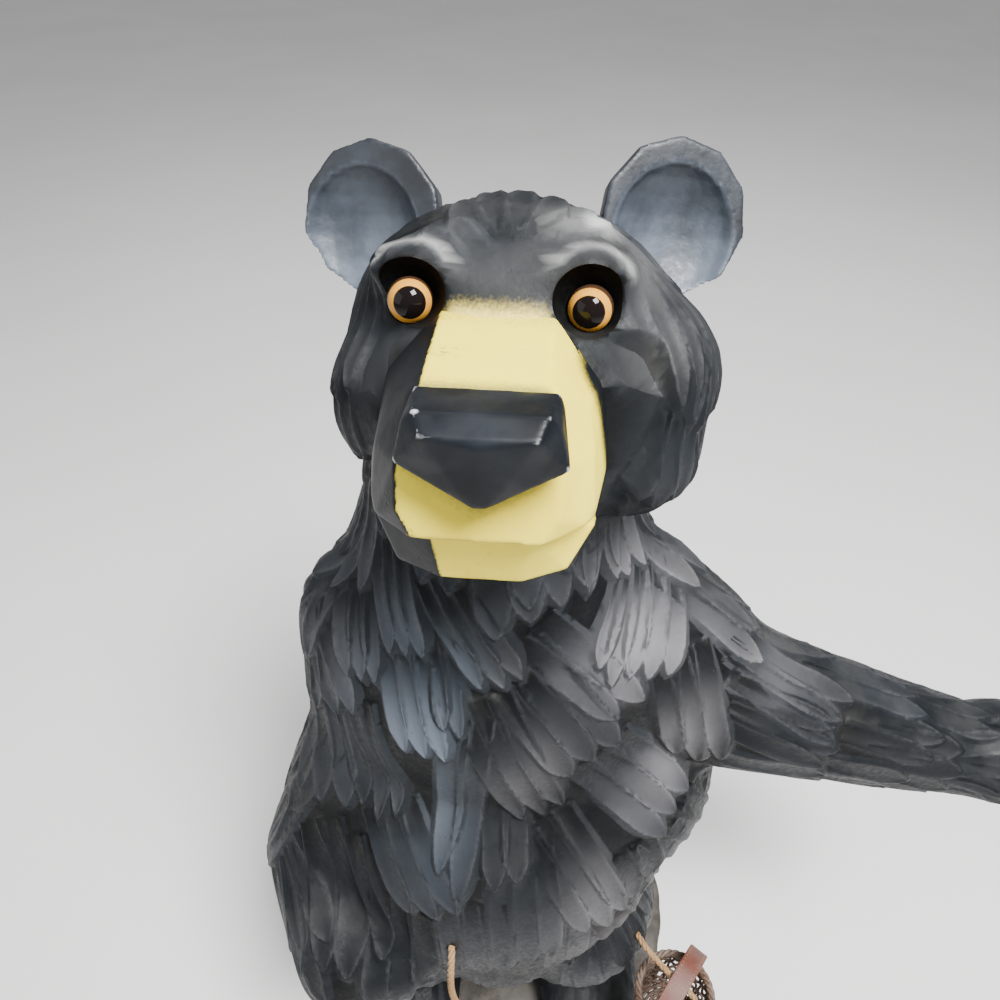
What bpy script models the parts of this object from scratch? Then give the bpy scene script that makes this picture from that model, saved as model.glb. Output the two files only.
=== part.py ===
"""Bear door greeter in cast resin with a carved look.

A young black bear stands on a low base. Its left arm is held out to the side and its right
forearm lies across the belly. Two glass-like eyes are set into the head. A length of jute
twine runs between two holes in the belly fur and carries a small wicker basket by its leather
handle.

Units are metres and +Z is up. The bear faces -Y and its outstretched arm points to +X. The
origin is the centre of the base's underside.
"""

import math

import bmesh
import bpy
import numpy as np
from mathutils import Matrix, Vector

# Sizes that stand on their own
FIGURE_HEIGHT = 0.600
BASE_WIDTH = 0.270
BASE_DEPTH = 0.256
BASE_THICKNESS = 0.022
BASE_EDGE_CUT = 0.006
EYE_DIAMETER = 0.015
TWINE_DIAMETER = 0.004
TWINE_HOLE_DEPTH = 0.009
BASKET_DIAMETER = 0.054
BASKET_FOOT_DIAMETER = 0.042
BASKET_HEIGHT = 0.050
BASKET_WALL = 0.0035
BASKET_FLOOR = 0.004
BASKET_RIM_THICKNESS = 0.006
BASKET_ROWS = 7
BASKET_SIDES = 24
BASKET_STANDOFF = 0.0015
HANDLE_RISE = 0.022
HANDLE_WIDTH = 0.012
HANDLE_THICKNESS = 0.0025
HANDLE_TAB = 0.013
SEAT_GAP = 0.0003

# The figure is drawn in steps, each a six-hundredth of its height
STEP = FIGURE_HEIGHT / 600.0
SOLE_LEVEL = BASE_THICKNESS + SEAT_GAP
EYES_MIDPOINT = (0.0, -20.0, 562.7)
HEAD_TURN = math.radians(-3.5)
HEAD_LIFT = math.radians(-25.0)
HEAD_ROLL = math.radians(1.0)
EYE_OFFSET = 29.0

# Left thigh, where the basket leans: centre and radii in steps, and the way out to the basket
THIGH = (50.0, -38.0, 135.0)
THIGH_RADII = (56.0, 58.0, 64.0)
BASKET_BEARING = math.radians(-44)
BASKET_RIM_LEVEL = 127.7
HANDLE_BEARING = math.radians(50)

# How the form is made: voxel in steps, passes of smoothing, levels and faces kept
FORM_VOXEL = 6.0
FORM_SMOOTHING = 7
FORM_LEVELS = 1
BEAR_FACES = 5600
FUR_SEED = 11

# Fur strokes on the body, on the crown and on the face: length, width and depth in steps
BODY_STROKE = (68.0, 17.5, 5.2)
CROWN_STROKE = (42.0, 11.5, 3.4)
FACE_STROKE = (36.0, 20.0, 1.3)

# Shares of a stroke's length and width that keep its neighbours off, and how far it may swing
STROKE_SPACING = (0.52, 0.80)
STROKE_SWING = 0.14
STROKE_FADE = 0.72

# Ears, sockets and eyes in the head's steps
EARS = (((-50.0, 50.0, 26.0), math.radians(-14)), ((58.0, 50.0, 30.5), math.radians(14)))
EAR_SIDES = 11
EAR_BACK_RADIUS = 25.0
EAR_FRONT_RADIUS = 28.5
EAR_THICKNESS = 15.0
EAR_BOWL_OFFSET = (0.0, -9.5, -3.0)
EAR_BOWL_RADII = (20.0, 11.0, 20.0)
SOCKET_OFFSET = (-10.0, 2.5)
SOCKET_RADII = (12.5, 11.5, 11.5)

# The twine in steps: from inside its right hole down the belly, and up to inside its left hole
TWINE_FALL = (
    (-25.0, -102.5, 244.0), (-25.2, -111.0, 240.0), (-25.6, -115.5, 234.0), (-26.0, -117.6, 224.0),
    (-26.0, -118.0, 208.0), (-24.5, -118.0, 190.0), (-20.0, -118.0, 171.0), (-11.5, -118.0, 154.0),
    (1.0, -118.5, 141.0), (17.0, -119.0, 133.0), (36.0, -120.0, 129.5), (56.0, -121.5, 130.0),
)
TWINE_RETURN = (
    (97.0, -85.0, 151.5), (91.2, -79.5, 154.6), (87.6, -72.8, 153.8), (84.6, -65.5, 151.6),
)

# The twine round the handle: shares of its clear distances along, across and below the handle
TWINE_LOOP = (
    (-1.37, 1.35, 0.24), (-1.10, -0.24, 0.37), (-0.82, -1.53, 0.50), (-0.48, -2.25, 0.64),
    (-0.17, -2.10, 0.78), (-0.02, -1.20, 0.89), (0.0, -0.13, 0.95), (0.01, 1.18, 1.01),
)
TWINE_SPACING = 0.0095


def on_figure(x, y, z):
    """Place in the world of a point given in steps above the soles."""
    return Vector((x * STEP, y * STEP, SOLE_LEVEL + z * STEP))


def head_matrix():
    """Matrix from the head's own steps, centred between the eyes, to the world."""
    turn = (Matrix.Rotation(HEAD_TURN, 4, "Z") @ Matrix.Rotation(HEAD_LIFT, 4, "X")
            @ Matrix.Rotation(HEAD_ROLL, 4, "Y"))
    return Matrix.Translation(on_figure(*EYES_MIDPOINT)) @ turn @ Matrix.Scale(STEP, 4)


HEAD = head_matrix()


def on_head(x, y, z):
    """Place in the world of a point given in the head's steps."""
    return HEAD @ Vector((x, y, z))


def clear_scene():
    """Remove every object, so that the model starts from nothing."""
    for thing in list(bpy.data.objects):
        bpy.data.objects.remove(thing, do_unlink=True)


def make_collection(name):
    """New collection linked to the scene."""
    made = bpy.data.collections.new(name)
    bpy.context.scene.collection.children.link(made)
    return made


clear_scene()
PARTS = make_collection("bear_greeter")
CUTTERS = make_collection("cutters")


def make_material(name, colour, roughness, metallic=0.0):
    """Principled material of one colour."""
    made = bpy.data.materials.new(name)
    made.use_nodes = True
    shader = made.node_tree.nodes["Principled BSDF"]
    shader.inputs["Base Color"].default_value = (*colour, 1.0)
    shader.inputs["Roughness"].default_value = roughness
    shader.inputs["Metallic"].default_value = metallic
    return made


def object_from_bmesh(name, shape, home):
    """Object made of a bmesh, which is freed."""
    mesh = bpy.data.meshes.new(name)
    bmesh.ops.recalc_face_normals(shape, faces=shape.faces)
    shape.to_mesh(mesh)
    shape.free()
    made = bpy.data.objects.new(name, mesh)
    home.objects.link(made)
    return made


def as_cutter(name, shape):
    """Hidden object that only cuts or joins."""
    made = object_from_bmesh(name, shape, CUTTERS)
    made.hide_render = True
    made.display_type = "WIRE"
    return made


def evaluated_mesh(thing, name):
    """Mesh of an object as its modifiers leave it."""
    bpy.context.view_layer.update()
    depsgraph = bpy.context.evaluated_depsgraph_get()
    mesh = bpy.data.meshes.new_from_object(thing.evaluated_get(depsgraph))
    mesh.name = name
    return mesh


def add_boolean(thing, other, operation):
    """Live Boolean with the exact solver."""
    step = thing.modifiers.new(f"{operation.lower()} {other.name}", "BOOLEAN")
    step.object = other
    step.operation = operation
    step.solver = "EXACT"
    return step


def add_ellipsoid(shape, centre, radii, turn=Matrix.Identity(4)):
    """Add an ellipsoid whose centre is in the world and whose radii are in steps."""
    stretch = Matrix.Diagonal((*(radius * STEP for radius in radii), 1.0))
    bmesh.ops.create_uvsphere(shape, u_segments=28, v_segments=16, radius=1.0,
                              matrix=Matrix.Translation(centre) @ turn @ stretch)


def add_limb(shape, joints):
    """Add a limb: a ball at each joint and a cone between each two."""
    for centre, radius in joints:
        add_ellipsoid(shape, centre, (radius, radius, radius))
    for (start, start_radius), (end, end_radius) in zip(joints, joints[1:]):
        run = end - start
        aim = run.to_track_quat("Z", "Y").to_matrix().to_4x4()
        place = Matrix.Translation((start + end) / 2) @ aim
        bmesh.ops.create_cone(shape, cap_ends=True, segments=28, radius1=start_radius * STEP,
                              radius2=end_radius * STEP, depth=run.length, matrix=place)


def add_torso(shape):
    """Belly, chest, hips, back and tail."""
    add_ellipsoid(shape, on_figure(-2, -15, 232), (111, 98, 114))
    add_ellipsoid(shape, on_figure(30, -10, 268), (97, 80, 84))
    add_ellipsoid(shape, on_figure(0, -30, 168), (66, 76, 62))
    add_ellipsoid(shape, on_figure(2, 4, 350), (96, 82, 92))
    add_ellipsoid(shape, on_figure(-2, 12, 150), (95, 84, 76))
    add_ellipsoid(shape, on_figure(0, 40, 392), (80, 56, 64))
    add_ellipsoid(shape, on_figure(0, 38, 172), (82, 62, 82))
    add_ellipsoid(shape, on_figure(0, 101, 160), (19, 17, 24))


def add_arms(shape):
    """Right arm folded over the belly and left arm held out."""
    add_limb(shape, [(on_figure(-60, 0, 388), 41), (on_figure(-66, -12, 318), 38),
                     (on_figure(-104, -44, 220), 37), (on_figure(-84, -94, 200), 34),
                     (on_figure(-60, -101, 209), 25)])
    add_limb(shape, [(on_figure(60, 0, 388), 47), (on_figure(118, -18, 342), 41),
                     (on_figure(162, -20, 327), 36), (on_figure(205, -20, 310), 32),
                     (on_figure(244, -24, 301), 28)])
    add_ellipsoid(shape, on_figure(272, -28, 301), (33, 31, 27))
    for finger in range(4):
        spread = finger - 1.5
        add_ellipsoid(shape, on_figure(297 - 3 * abs(spread), -28 + 14 * spread, 297), (14, 9, 12))


def add_legs(shape):
    """Two short legs with long feet."""
    for side in (-1, 1):
        add_ellipsoid(shape, on_figure(side * THIGH[0], THIGH[1], THIGH[2]), THIGH_RADII)
        add_limb(shape, [(on_figure(side * 54, -10, 118), 53), (on_figure(side * 62, -20, 74), 48),
                         (on_figure(side * 64, -8, 32), 41)])
        add_ellipsoid(shape, on_figure(side * 67, -48, 20), (41, 66, 27))


def add_head(shape):
    """Skull, cheeks, jaw, brows and neck, without the muzzle and the ears."""
    turn = HEAD.to_quaternion().to_matrix().to_4x4()
    add_ellipsoid(shape, on_head(3, 42, -8), (62, 54, 47), turn)
    add_ellipsoid(shape, on_head(-32, 26, -34), (31, 38, 34), turn)
    add_ellipsoid(shape, on_head(44, 30, -25), (37, 41, 38), turn)
    add_ellipsoid(shape, on_head(43, 28, -50), (35, 36, 29), turn)
    add_ellipsoid(shape, on_head(2, -3, -33), (43, 33, 29), turn)
    add_ellipsoid(shape, on_head(3, 12, -52), (38, 42, 26), turn)
    add_ellipsoid(shape, on_head(-27, 4, 11), (22, 15, 9), turn)
    add_ellipsoid(shape, on_head(27, 4, 14), (22, 15, 9), turn)
    add_limb(shape, [(on_head(4, 56, -28), 54), (on_figure(0, 20, 455), 64),
                     (on_figure(0, 18, 415), 74)])


def smooth_bear_form():
    """The whole bear as one smooth skin, before the fur is cut."""
    shape = bmesh.new()
    add_torso(shape)
    add_arms(shape)
    add_legs(shape)
    add_head(shape)
    lumps = as_cutter("bear_lumps", shape)
    remesh = lumps.modifiers.new("one skin", "REMESH")
    remesh.mode = "VOXEL"
    remesh.voxel_size = FORM_VOXEL * STEP
    relax = lumps.modifiers.new("blend the joins", "SMOOTH")
    relax.factor = 0.5
    relax.iterations = FORM_SMOOTHING
    return lumps


def mesh_arrays(mesh):
    """Vertex places and normals of a mesh as arrays."""
    places = np.empty(len(mesh.vertices) * 3, dtype=np.float32)
    mesh.vertices.foreach_get("co", places)
    normals = np.empty(len(mesh.vertices) * 3, dtype=np.float32)
    mesh.vertex_normals.foreach_get("vector", normals)
    return places.reshape(-1, 3).astype(float), normals.reshape(-1, 3).astype(float)


# Which way the fur lies: a place and a direction in steps, and how far the guide reaches
FUR_GUIDES = (
    ((-60, -60, 400), (0.25, -0.1, -1.0), 60),
    ((-20, -80, 360), (0.75, -0.1, -1.0), 60),
    ((40, -85, 350), (1.3, 0.0, -0.9), 55),
    ((50, -100, 270), (1.2, 0.1, -1.0), 60),
    ((-30, -100, 270), (0.2, 0.0, -1.0), 55),
    ((70, -40, 420), (0.2, -0.5, -1.0), 45),
    ((150, -20, 340), (1.0, 0.0, -0.35), 80),
    ((260, -20, 300), (1.0, 0.0, -0.10), 70),
    ((-115, -20, 300), (-0.15, -0.1, -1.0), 60),
    ((-100, -90, 215), (0.8, -0.9, -0.5), 40),
    ((0, 90, 350), (0.0, 0.1, -1.0), 120),
    ((0, 60, 150), (0.0, 0.1, -1.0), 120),
    ((60, -60, 30), (0.0, -1.0, -0.25), 45),
    ((-60, -60, 30), (0.0, -1.0, -0.25), 45),
)
CROWN_GUIDES = (
    ((-12, -5, 25), (-0.45, 1.0, 0.9), 26),
    ((12, -5, 25), (0.55, 1.0, 0.9), 26),
    ((0, 45, 40), (0.0, 1.0, 0.1), 40),
    ((50, 20, 0), (0.5, 0.55, -1.0), 34),
    ((-50, 20, 0), (-0.3, 0.45, -1.0), 34),
    ((60, 35, -40), (-0.1, 0.6, -1.0), 40),
    ((-60, 35, -40), (0.1, 0.6, -1.0), 40),
    ((0, 95, 0), (0.0, 0.3, -1.0), 60),
)


def guide_table():
    """All guides in world places, unit directions and reaches."""
    rows = [(on_figure(*place), Vector(way), reach * STEP) for place, way, reach in FUR_GUIDES]
    turn = HEAD.to_quaternion()
    rows += [(on_head(*place), turn @ Vector(way), reach * STEP)
             for place, way, reach in CROWN_GUIDES]
    return [(np.array(place), np.array(way.normalized()), reach) for place, way, reach in rows]


def fur_flow(places, normals):
    """Unit direction of the fur along the skin at each place."""
    flow = np.zeros_like(places)
    flow[:, 2] = -0.02
    for place, way, reach in guide_table():
        weight = np.exp(-((places - place) ** 2).sum(axis=1) / reach ** 2)
        flow += weight[:, None] * way
    flow -= (flow * normals).sum(axis=1)[:, None] * normals
    return flow / np.maximum(np.linalg.norm(flow, axis=1), 1e-9)[:, None]


def ramp(value, low, high):
    """Smooth rise from 0 at low to 1 at high."""
    share = np.clip((value - low) / (high - low), 0.0, 1.0)
    return share * share * (3.0 - 2.0 * share)


def head_places(places):
    """Places in the head's own steps."""
    back = np.array(HEAD.inverted())
    return places @ back[:3, :3].T + back[:3, 3]


def stroke_sizes(places):
    """Length, width and depth in metres of the stroke that belongs at each place."""
    inner = head_places(places)
    on_the_head = ramp(inner[:, 2], -95.0, -60.0) * (np.abs(inner[:, 0]) < 95)
    front = 1.0 - ramp(inner[:, 1], 14.0, 40.0)
    low = 1.0 - ramp(inner[:, 2], 8.0, 20.0)
    face = (on_the_head * front * low)[:, None]
    crown = on_the_head[:, None]
    sizes = np.array(BODY_STROKE) * (1 - crown) + np.array(CROWN_STROKE) * crown
    sizes = sizes * (1 - face) + np.array(FACE_STROKE) * face
    return sizes * STEP


def place_strokes(mesh):
    """Choose where the gouge strokes lie: seeded, spaced by their own length and width."""
    places, normals = mesh_arrays(mesh)
    flow = fur_flow(places, normals)
    sizes = stroke_sizes(places)
    chance = np.random.default_rng(FUR_SEED)
    chosen = []
    kept_places = np.empty((0, 3))
    kept_normals = np.empty((0, 3))
    for index in chance.permutation(len(places)):
        here, up, along = places[index], normals[index], flow[index]
        across = np.cross(up, along)
        length, width, depth = sizes[index] * chance.uniform(0.8, 1.2, 3)
        if len(chosen):
            gap = kept_places - here
            near = (((gap @ along) / (STROKE_SPACING[0] * length)) ** 2
                    + ((gap @ across) / (STROKE_SPACING[1] * width)) ** 2)
            facing = kept_normals @ up
            if np.any((near < 1.0) & (facing > 0.2) & (np.abs(gap @ up) < width * 2)):
                continue
        swing = chance.uniform(-STROKE_SWING, STROKE_SWING)
        along = along * math.cos(swing) + across * math.sin(swing)
        chosen.append((here, up, along, length, width, depth))
        kept_places = np.vstack([kept_places, here])
        kept_normals = np.vstack([kept_normals, up])
    return chosen


def cut_depths(places, normals, strokes):
    """How deep the strokes cut the skin at each place, the deepest stroke winning."""
    cell = 0.03
    keys = np.floor(places / cell).astype(int)
    order = np.lexsort(keys.T)
    sorted_keys = keys[order]
    starts = np.flatnonzero(np.any(np.diff(sorted_keys, axis=0, prepend=sorted_keys[:1] - 1), axis=1))
    ends = np.append(starts[1:], len(order))
    cells = {tuple(sorted_keys[start]): order[start:end] for start, end in zip(starts, ends)}
    cut = np.zeros(len(places))
    for here, up, along, length, width, depth in strokes:
        across = np.cross(up, along)
        reach = int(math.ceil(length / 2 / cell))
        middle = np.floor(here / cell).astype(int)
        spans = [range(value - reach, value + reach + 1) for value in middle]
        groups = [cells[key] for key in
                  ((i, j, k) for i in spans[0] for j in spans[1] for k in spans[2]) if key in cells]
        near = np.concatenate(groups)
        gap = places[near] - here
        share = (gap @ along) / length + 0.5
        inside = np.clip(share, 0.0, 1.0)
        half_width = width / 2 * np.sqrt(np.sin(math.pi * inside ** 0.62).clip(1e-4))
        bowl = 1.0 - ((gap @ across) / half_width) ** 2
        stop = ramp(share, 0.0, 0.05)
        depths = depth * bowl * (1.0 - STROKE_FADE * inside) * stop
        depths[(share <= 0) | (share >= 1) | (normals[near] @ up < 0.25)] = 0.0
        cut[near] = np.maximum(cut[near], depths)
    return cut


def carve_fur(mesh, strokes):
    """Cut the strokes into a skin, along its normals."""
    places, normals = mesh_arrays(mesh)
    places -= normals * cut_depths(places, normals, strokes)[:, None]
    mesh.vertices.foreach_set("co", places.astype(np.float32).ravel())
    mesh.update()


def hull_of(points, both_sides=True):
    """Chiselled block: the hull of a few corners in the head's steps, mirrored left to right."""
    shape = bmesh.new()
    for x, y, z in points:
        shape.verts.new(on_head(x, y, z))
        if both_sides and x:
            shape.verts.new(on_head(-x, y, z))
    bmesh.ops.convex_hull(shape, input=shape.verts)
    bmesh.ops.dissolve_limit(shape, angle_limit=0.01, verts=shape.verts, edges=shape.edges)
    bmesh.ops.triangulate(shape, faces=shape.faces)
    return shape


def muzzle_block():
    """Upper muzzle from the brow to the lip."""
    return hull_of([(18, -8, -2), (15.7, -66, -17.7), (24, -20, -12), (19, -62, -19.5),
                    (28.7, -40, -24), (30.2, -50, -36), (31.3, -50, -50.5), (29, -56, -54.5),
                    (17, -66.5, -57.5), (21, -70, -37), (21.2, -67.5, -49.5), (32, -44, -56),
                    (35.5, -30, -45), (36, 0, -20), (38, 0, -50), (20, 10, -2)])


def chin_block():
    """Chin, set back under the lip."""
    return hull_of([(14.5, -58, -57), (12, -46, -76.5), (25.5, -41, -73.5), (33.5, -36, -60),
                    (36, 0, -58), (26, 0, -84)])


def nose_block():
    """Nose pad with a flat top, a rough upper band and a pointed lower panel."""
    return hull_of([(16.8, -67, -17.2), (14.5, -85, -20), (17.3, -82.5, -22.8), (19.8, -80, -33.5),
                    (12.5, -89, -25), (0, -89.5, -27.2), (1.5, -80, -44), (19.5, -70, -31),
                    (0, -64, -44), (18, -66, -20)])


def ear_shape(centre, outward):
    """Faceted round ear with a hollow front."""
    tilt = Matrix.Rotation(outward, 4, "Z") @ Matrix.Rotation(math.radians(90), 4, "X")
    place = HEAD @ Matrix.Translation(centre) @ tilt
    shape = bmesh.new()
    bmesh.ops.create_cone(shape, cap_ends=True, segments=EAR_SIDES, radius1=EAR_BACK_RADIUS,
                          radius2=EAR_FRONT_RADIUS, depth=EAR_THICKNESS, matrix=place)
    return shape


def ear_hollow(centre, outward):
    """Bowl that is cut into the front of an ear."""
    tilt = Matrix.Rotation(outward, 4, "Z")
    place = HEAD @ Matrix.Translation(centre) @ tilt @ Matrix.Translation(EAR_BOWL_OFFSET)
    shape = bmesh.new()
    bmesh.ops.create_uvsphere(shape, u_segments=18, v_segments=10, radius=1.0,
                              matrix=place @ Matrix.Diagonal((*EAR_BOWL_RADII, 1.0)))
    return shape


def eye_centre(side):
    """Centre of one eye in the world."""
    return on_head(side * EYE_OFFSET, -1.0, 0.0)


def ball(centre, radius, segments=16, rings=10):
    """Closed ball in the world."""
    shape = bmesh.new()
    bmesh.ops.create_uvsphere(shape, u_segments=segments, v_segments=rings, radius=radius,
                              matrix=Matrix.Translation(centre))
    return shape


def socket_shape(side):
    """Hollow under the brow that the eye sits in."""
    shape = bmesh.new()
    place = HEAD @ Matrix.Translation((side * EYE_OFFSET, *SOCKET_OFFSET))
    bmesh.ops.create_uvsphere(shape, u_segments=16, v_segments=10, radius=1.0,
                              matrix=place @ Matrix.Diagonal((*SOCKET_RADII, 1.0)))
    return shape


def make_bear(material):
    """The bear: one casting, with its fur, muzzle, ears and sockets."""
    lumps = smooth_bear_form()
    plain = evaluated_mesh(lumps, "plain skin")
    strokes = place_strokes(plain)
    finer = lumps.modifiers.new("finer skin", "SUBSURF")
    finer.levels = FORM_LEVELS
    finer.render_levels = FORM_LEVELS
    skin = evaluated_mesh(lumps, "bear")
    carve_fur(skin, strokes)
    bear = bpy.data.objects.new("bear", skin)
    PARTS.objects.link(bear)
    thin = bear.modifiers.new("fewer faces", "DECIMATE")
    thin.ratio = BEAR_FACES / (2.0 * len(skin.polygons))
    blocks = [("muzzle", muzzle_block()), ("chin", chin_block()), ("nose", nose_block())]
    for name, shape in blocks:
        add_boolean(bear, as_cutter(name, shape), "UNION")
    for number, (centre, outward) in enumerate(EARS):
        add_boolean(bear, as_cutter(f"ear_{number}", ear_shape(centre, outward)), "UNION")
        add_boolean(bear, as_cutter(f"ear_hollow_{number}", ear_hollow(centre, outward)), "DIFFERENCE")
    for side, name in ((-1, "right"), (1, "left")):
        add_boolean(bear, as_cutter(f"socket_{name}", socket_shape(side)), "DIFFERENCE")
        seat = ball(eye_centre(side), EYE_DIAMETER / 2 + SEAT_GAP)
        add_boolean(bear, as_cutter(f"eye_seat_{name}", seat), "DIFFERENCE")
    route = twine_route()
    add_boolean(bear, as_cutter("twine_hole_right", twine_hole(route[0], route[1])), "DIFFERENCE")
    add_boolean(bear, as_cutter("twine_hole_left", twine_hole(route[-1], route[-2])), "DIFFERENCE")
    below = bmesh.new()
    bmesh.ops.create_cube(below, size=1.0, matrix=Matrix.Translation((0, 0, SOLE_LEVEL - 0.5)))
    add_boolean(bear, as_cutter("below_soles", below), "DIFFERENCE")
    bear.data.materials.append(material)
    return bear


def make_eyes(material):
    """Two eyes, each a ball in its seat."""
    for side, name in ((-1, "right"), (1, "left")):
        eye = object_from_bmesh(f"eye_{name}", ball(eye_centre(side), EYE_DIAMETER / 2), PARTS)
        eye.data.shade_smooth()
        eye.data.materials.append(material)


def smooth_route(points, spacing):
    """Points at an even spacing along the smooth curve through a route."""
    padded = [2 * points[0] - points[1], *points, 2 * points[-1] - points[-2]]
    dense = []
    for before, start, end, after in zip(padded, padded[1:], padded[2:], padded[3:]):
        for part in range(20):
            share = part / 20
            dense.append(0.5 * (2 * start + (end - before) * share
                                + (2 * before - 5 * start + 4 * end - after) * share ** 2
                                + (3 * start - before - 3 * end + after) * share ** 3))
    dense.append(points[-1])
    lengths = np.cumsum([0.0] + [(end - start).length for start, end in zip(dense, dense[1:])])
    count = max(2, round(lengths[-1] / spacing)) + 1
    places = np.array([tuple(point) for point in dense])
    wanted = np.linspace(0.0, lengths[-1], count)
    return [Vector(row) for row in
            np.column_stack([np.interp(wanted, lengths, places[:, axis]) for axis in range(3)])]


def twine_loop():
    """Points of the twine round the handle's front leg and under its top."""
    leg = handle_half_span() + (HANDLE_THICKNESS + TWINE_DIAMETER) / 2 + SEAT_GAP
    side = (HANDLE_WIDTH + TWINE_DIAMETER) / 2 + SEAT_GAP
    under = HANDLE_RISE - (HANDLE_THICKNESS + TWINE_DIAMETER) / 2 - SEAT_GAP
    turn = Matrix.Rotation(HANDLE_BEARING, 4, "Z")
    return [basket_place() + turn @ Vector((along * leg, across * side, height * under))
            for along, across, height in TWINE_LOOP]


def twine_route():
    """Corners of the twine's route in the world."""
    return ([on_figure(*point) for point in TWINE_FALL] + twine_loop()
            + [on_figure(*point) for point in TWINE_RETURN])


def twine_hole(inner, outer):
    """Round hole in the fur that one end of the twine runs into."""
    run = outer - inner
    depth = TWINE_HOLE_DEPTH * 2
    place = Matrix.Translation(inner + run.normalized() * (depth / 2 - SEAT_GAP))
    shape = bmesh.new()
    bmesh.ops.create_cone(shape, cap_ends=True, segments=12, depth=depth,
                          radius1=TWINE_DIAMETER / 2 + 2 * SEAT_GAP,
                          radius2=TWINE_DIAMETER / 2 + 2 * SEAT_GAP,
                          matrix=place @ run.to_track_quat("Z", "Y").to_matrix().to_4x4())
    return shape


def make_twine(material):
    """Jute twine from one hole in the fur, through the basket's handle, to the other hole."""
    points = smooth_route(twine_route(), TWINE_SPACING)
    line = bpy.data.curves.new("twine", "CURVE")
    line.dimensions = "3D"
    line.bevel_depth = TWINE_DIAMETER / 2
    line.bevel_resolution = 2
    line.use_fill_caps = True
    spline = line.splines.new("POLY")
    spline.points.add(len(points) - 1)
    for point, place in zip(spline.points, points):
        point.co = (*place, 1.0)
    twine = bpy.data.objects.new("twine", line)
    PARTS.objects.link(twine)
    line.materials.append(material)


def basket_place():
    """Middle of the basket's mouth: out from the thigh by its own reach and a standoff."""
    way = Vector((math.cos(BASKET_BEARING), math.sin(BASKET_BEARING), 0.0))
    rise = (BASKET_RIM_LEVEL - THIGH[2]) / THIGH_RADII[2]
    level = math.sqrt(1.0 - rise ** 2)
    reach = level / math.hypot(way.x / THIGH_RADII[0], way.y / THIGH_RADII[1]) * STEP
    middle = on_figure(THIGH[0], THIGH[1], BASKET_RIM_LEVEL)
    return middle + way * (reach + BASKET_STANDOFF + BASKET_DIAMETER / 2)


def basket_profile():
    """Section of the basket from its floor inside, over the rim and down the woven outside."""
    foot = BASKET_FOOT_DIAMETER / 2
    mouth = BASKET_DIAMETER / 2 - BASKET_RIM_THICKNESS / 3
    row = (BASKET_HEIGHT - BASKET_RIM_THICKNESS) / BASKET_ROWS

    def wall(height):
        return foot + (mouth - foot) * height / BASKET_HEIGHT

    inside = [(0.0, BASKET_FLOOR), (wall(0) - BASKET_WALL, BASKET_FLOOR),
              (mouth - BASKET_WALL, BASKET_HEIGHT - BASKET_RIM_THICKNESS)]
    rim_centre = mouth - BASKET_WALL / 2
    rim_middle = BASKET_HEIGHT - BASKET_RIM_THICKNESS / 2
    rim_radius = BASKET_RIM_THICKNESS / 2
    rim = [(rim_centre - rim_radius * math.cos(turn), rim_middle + rim_radius * math.sin(turn))
           for turn in np.radians((0, 60, 120, 180))]
    outside = []
    for number in reversed(range(BASKET_ROWS)):
        outside.append((wall(row * (number + 1)) - BASKET_WALL * 0.25, row * (number + 1)))
        outside.append((wall(row * (number + 0.5)) + BASKET_WALL * 0.15, row * (number + 0.5)))
    return inside + rim + outside + [(foot - BASKET_WALL * 0.25, 0.0), (0.0, 0.0)]


def make_basket(material):
    """Small round wicker basket, open at the top, as a turned profile with woven rows."""
    shape = bmesh.new()
    points = [shape.verts.new((across, 0.0, height)) for across, height in basket_profile()]
    for start, end in zip(points, points[1:]):
        shape.edges.new((start, end))
    mesh = bpy.data.meshes.new("basket")
    shape.to_mesh(mesh)
    shape.free()
    basket = bpy.data.objects.new("basket", mesh)
    PARTS.objects.link(basket)
    basket.location = basket_place() - Vector((0.0, 0.0, BASKET_HEIGHT))
    turned = basket.modifiers.new("turned", "SCREW")
    turned.steps = BASKET_SIDES
    turned.render_steps = BASKET_SIDES
    turned.use_merge_vertices = True
    turned.merge_threshold = 0.00005
    mesh.materials.append(material)


def handle_half_span():
    """From the basket's middle to the middle of the handle's band beside the rim."""
    return BASKET_DIAMETER / 2 + HANDLE_THICKNESS / 2 + SEAT_GAP


def make_handle(material):
    """Leather handle: a band over the mouth, its two tabs outside the rim."""
    half_span = handle_half_span()
    arch = [(-half_span * math.cos(turn), HANDLE_RISE * math.sin(turn))
            for turn in np.linspace(0.0, math.pi, 13)]
    line = [(-half_span, -HANDLE_TAB), *arch, (half_span, -HANDLE_TAB)]
    shape = bmesh.new()
    edges = [[shape.verts.new((across, side * HANDLE_WIDTH / 2, height)) for across, height in line]
             for side in (-1, 1)]
    for near, far in zip(zip(edges[0], edges[0][1:]), zip(edges[1], edges[1][1:])):
        shape.faces.new((near[0], near[1], far[1], far[0]))
    handle = object_from_bmesh("basket_handle", shape, PARTS)
    handle.location = basket_place()
    handle.rotation_euler = (0.0, 0.0, HANDLE_BEARING)
    band = handle.modifiers.new("band", "SOLIDIFY")
    band.thickness = HANDLE_THICKNESS
    band.offset = 0.0
    handle.data.materials.append(material)


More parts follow.
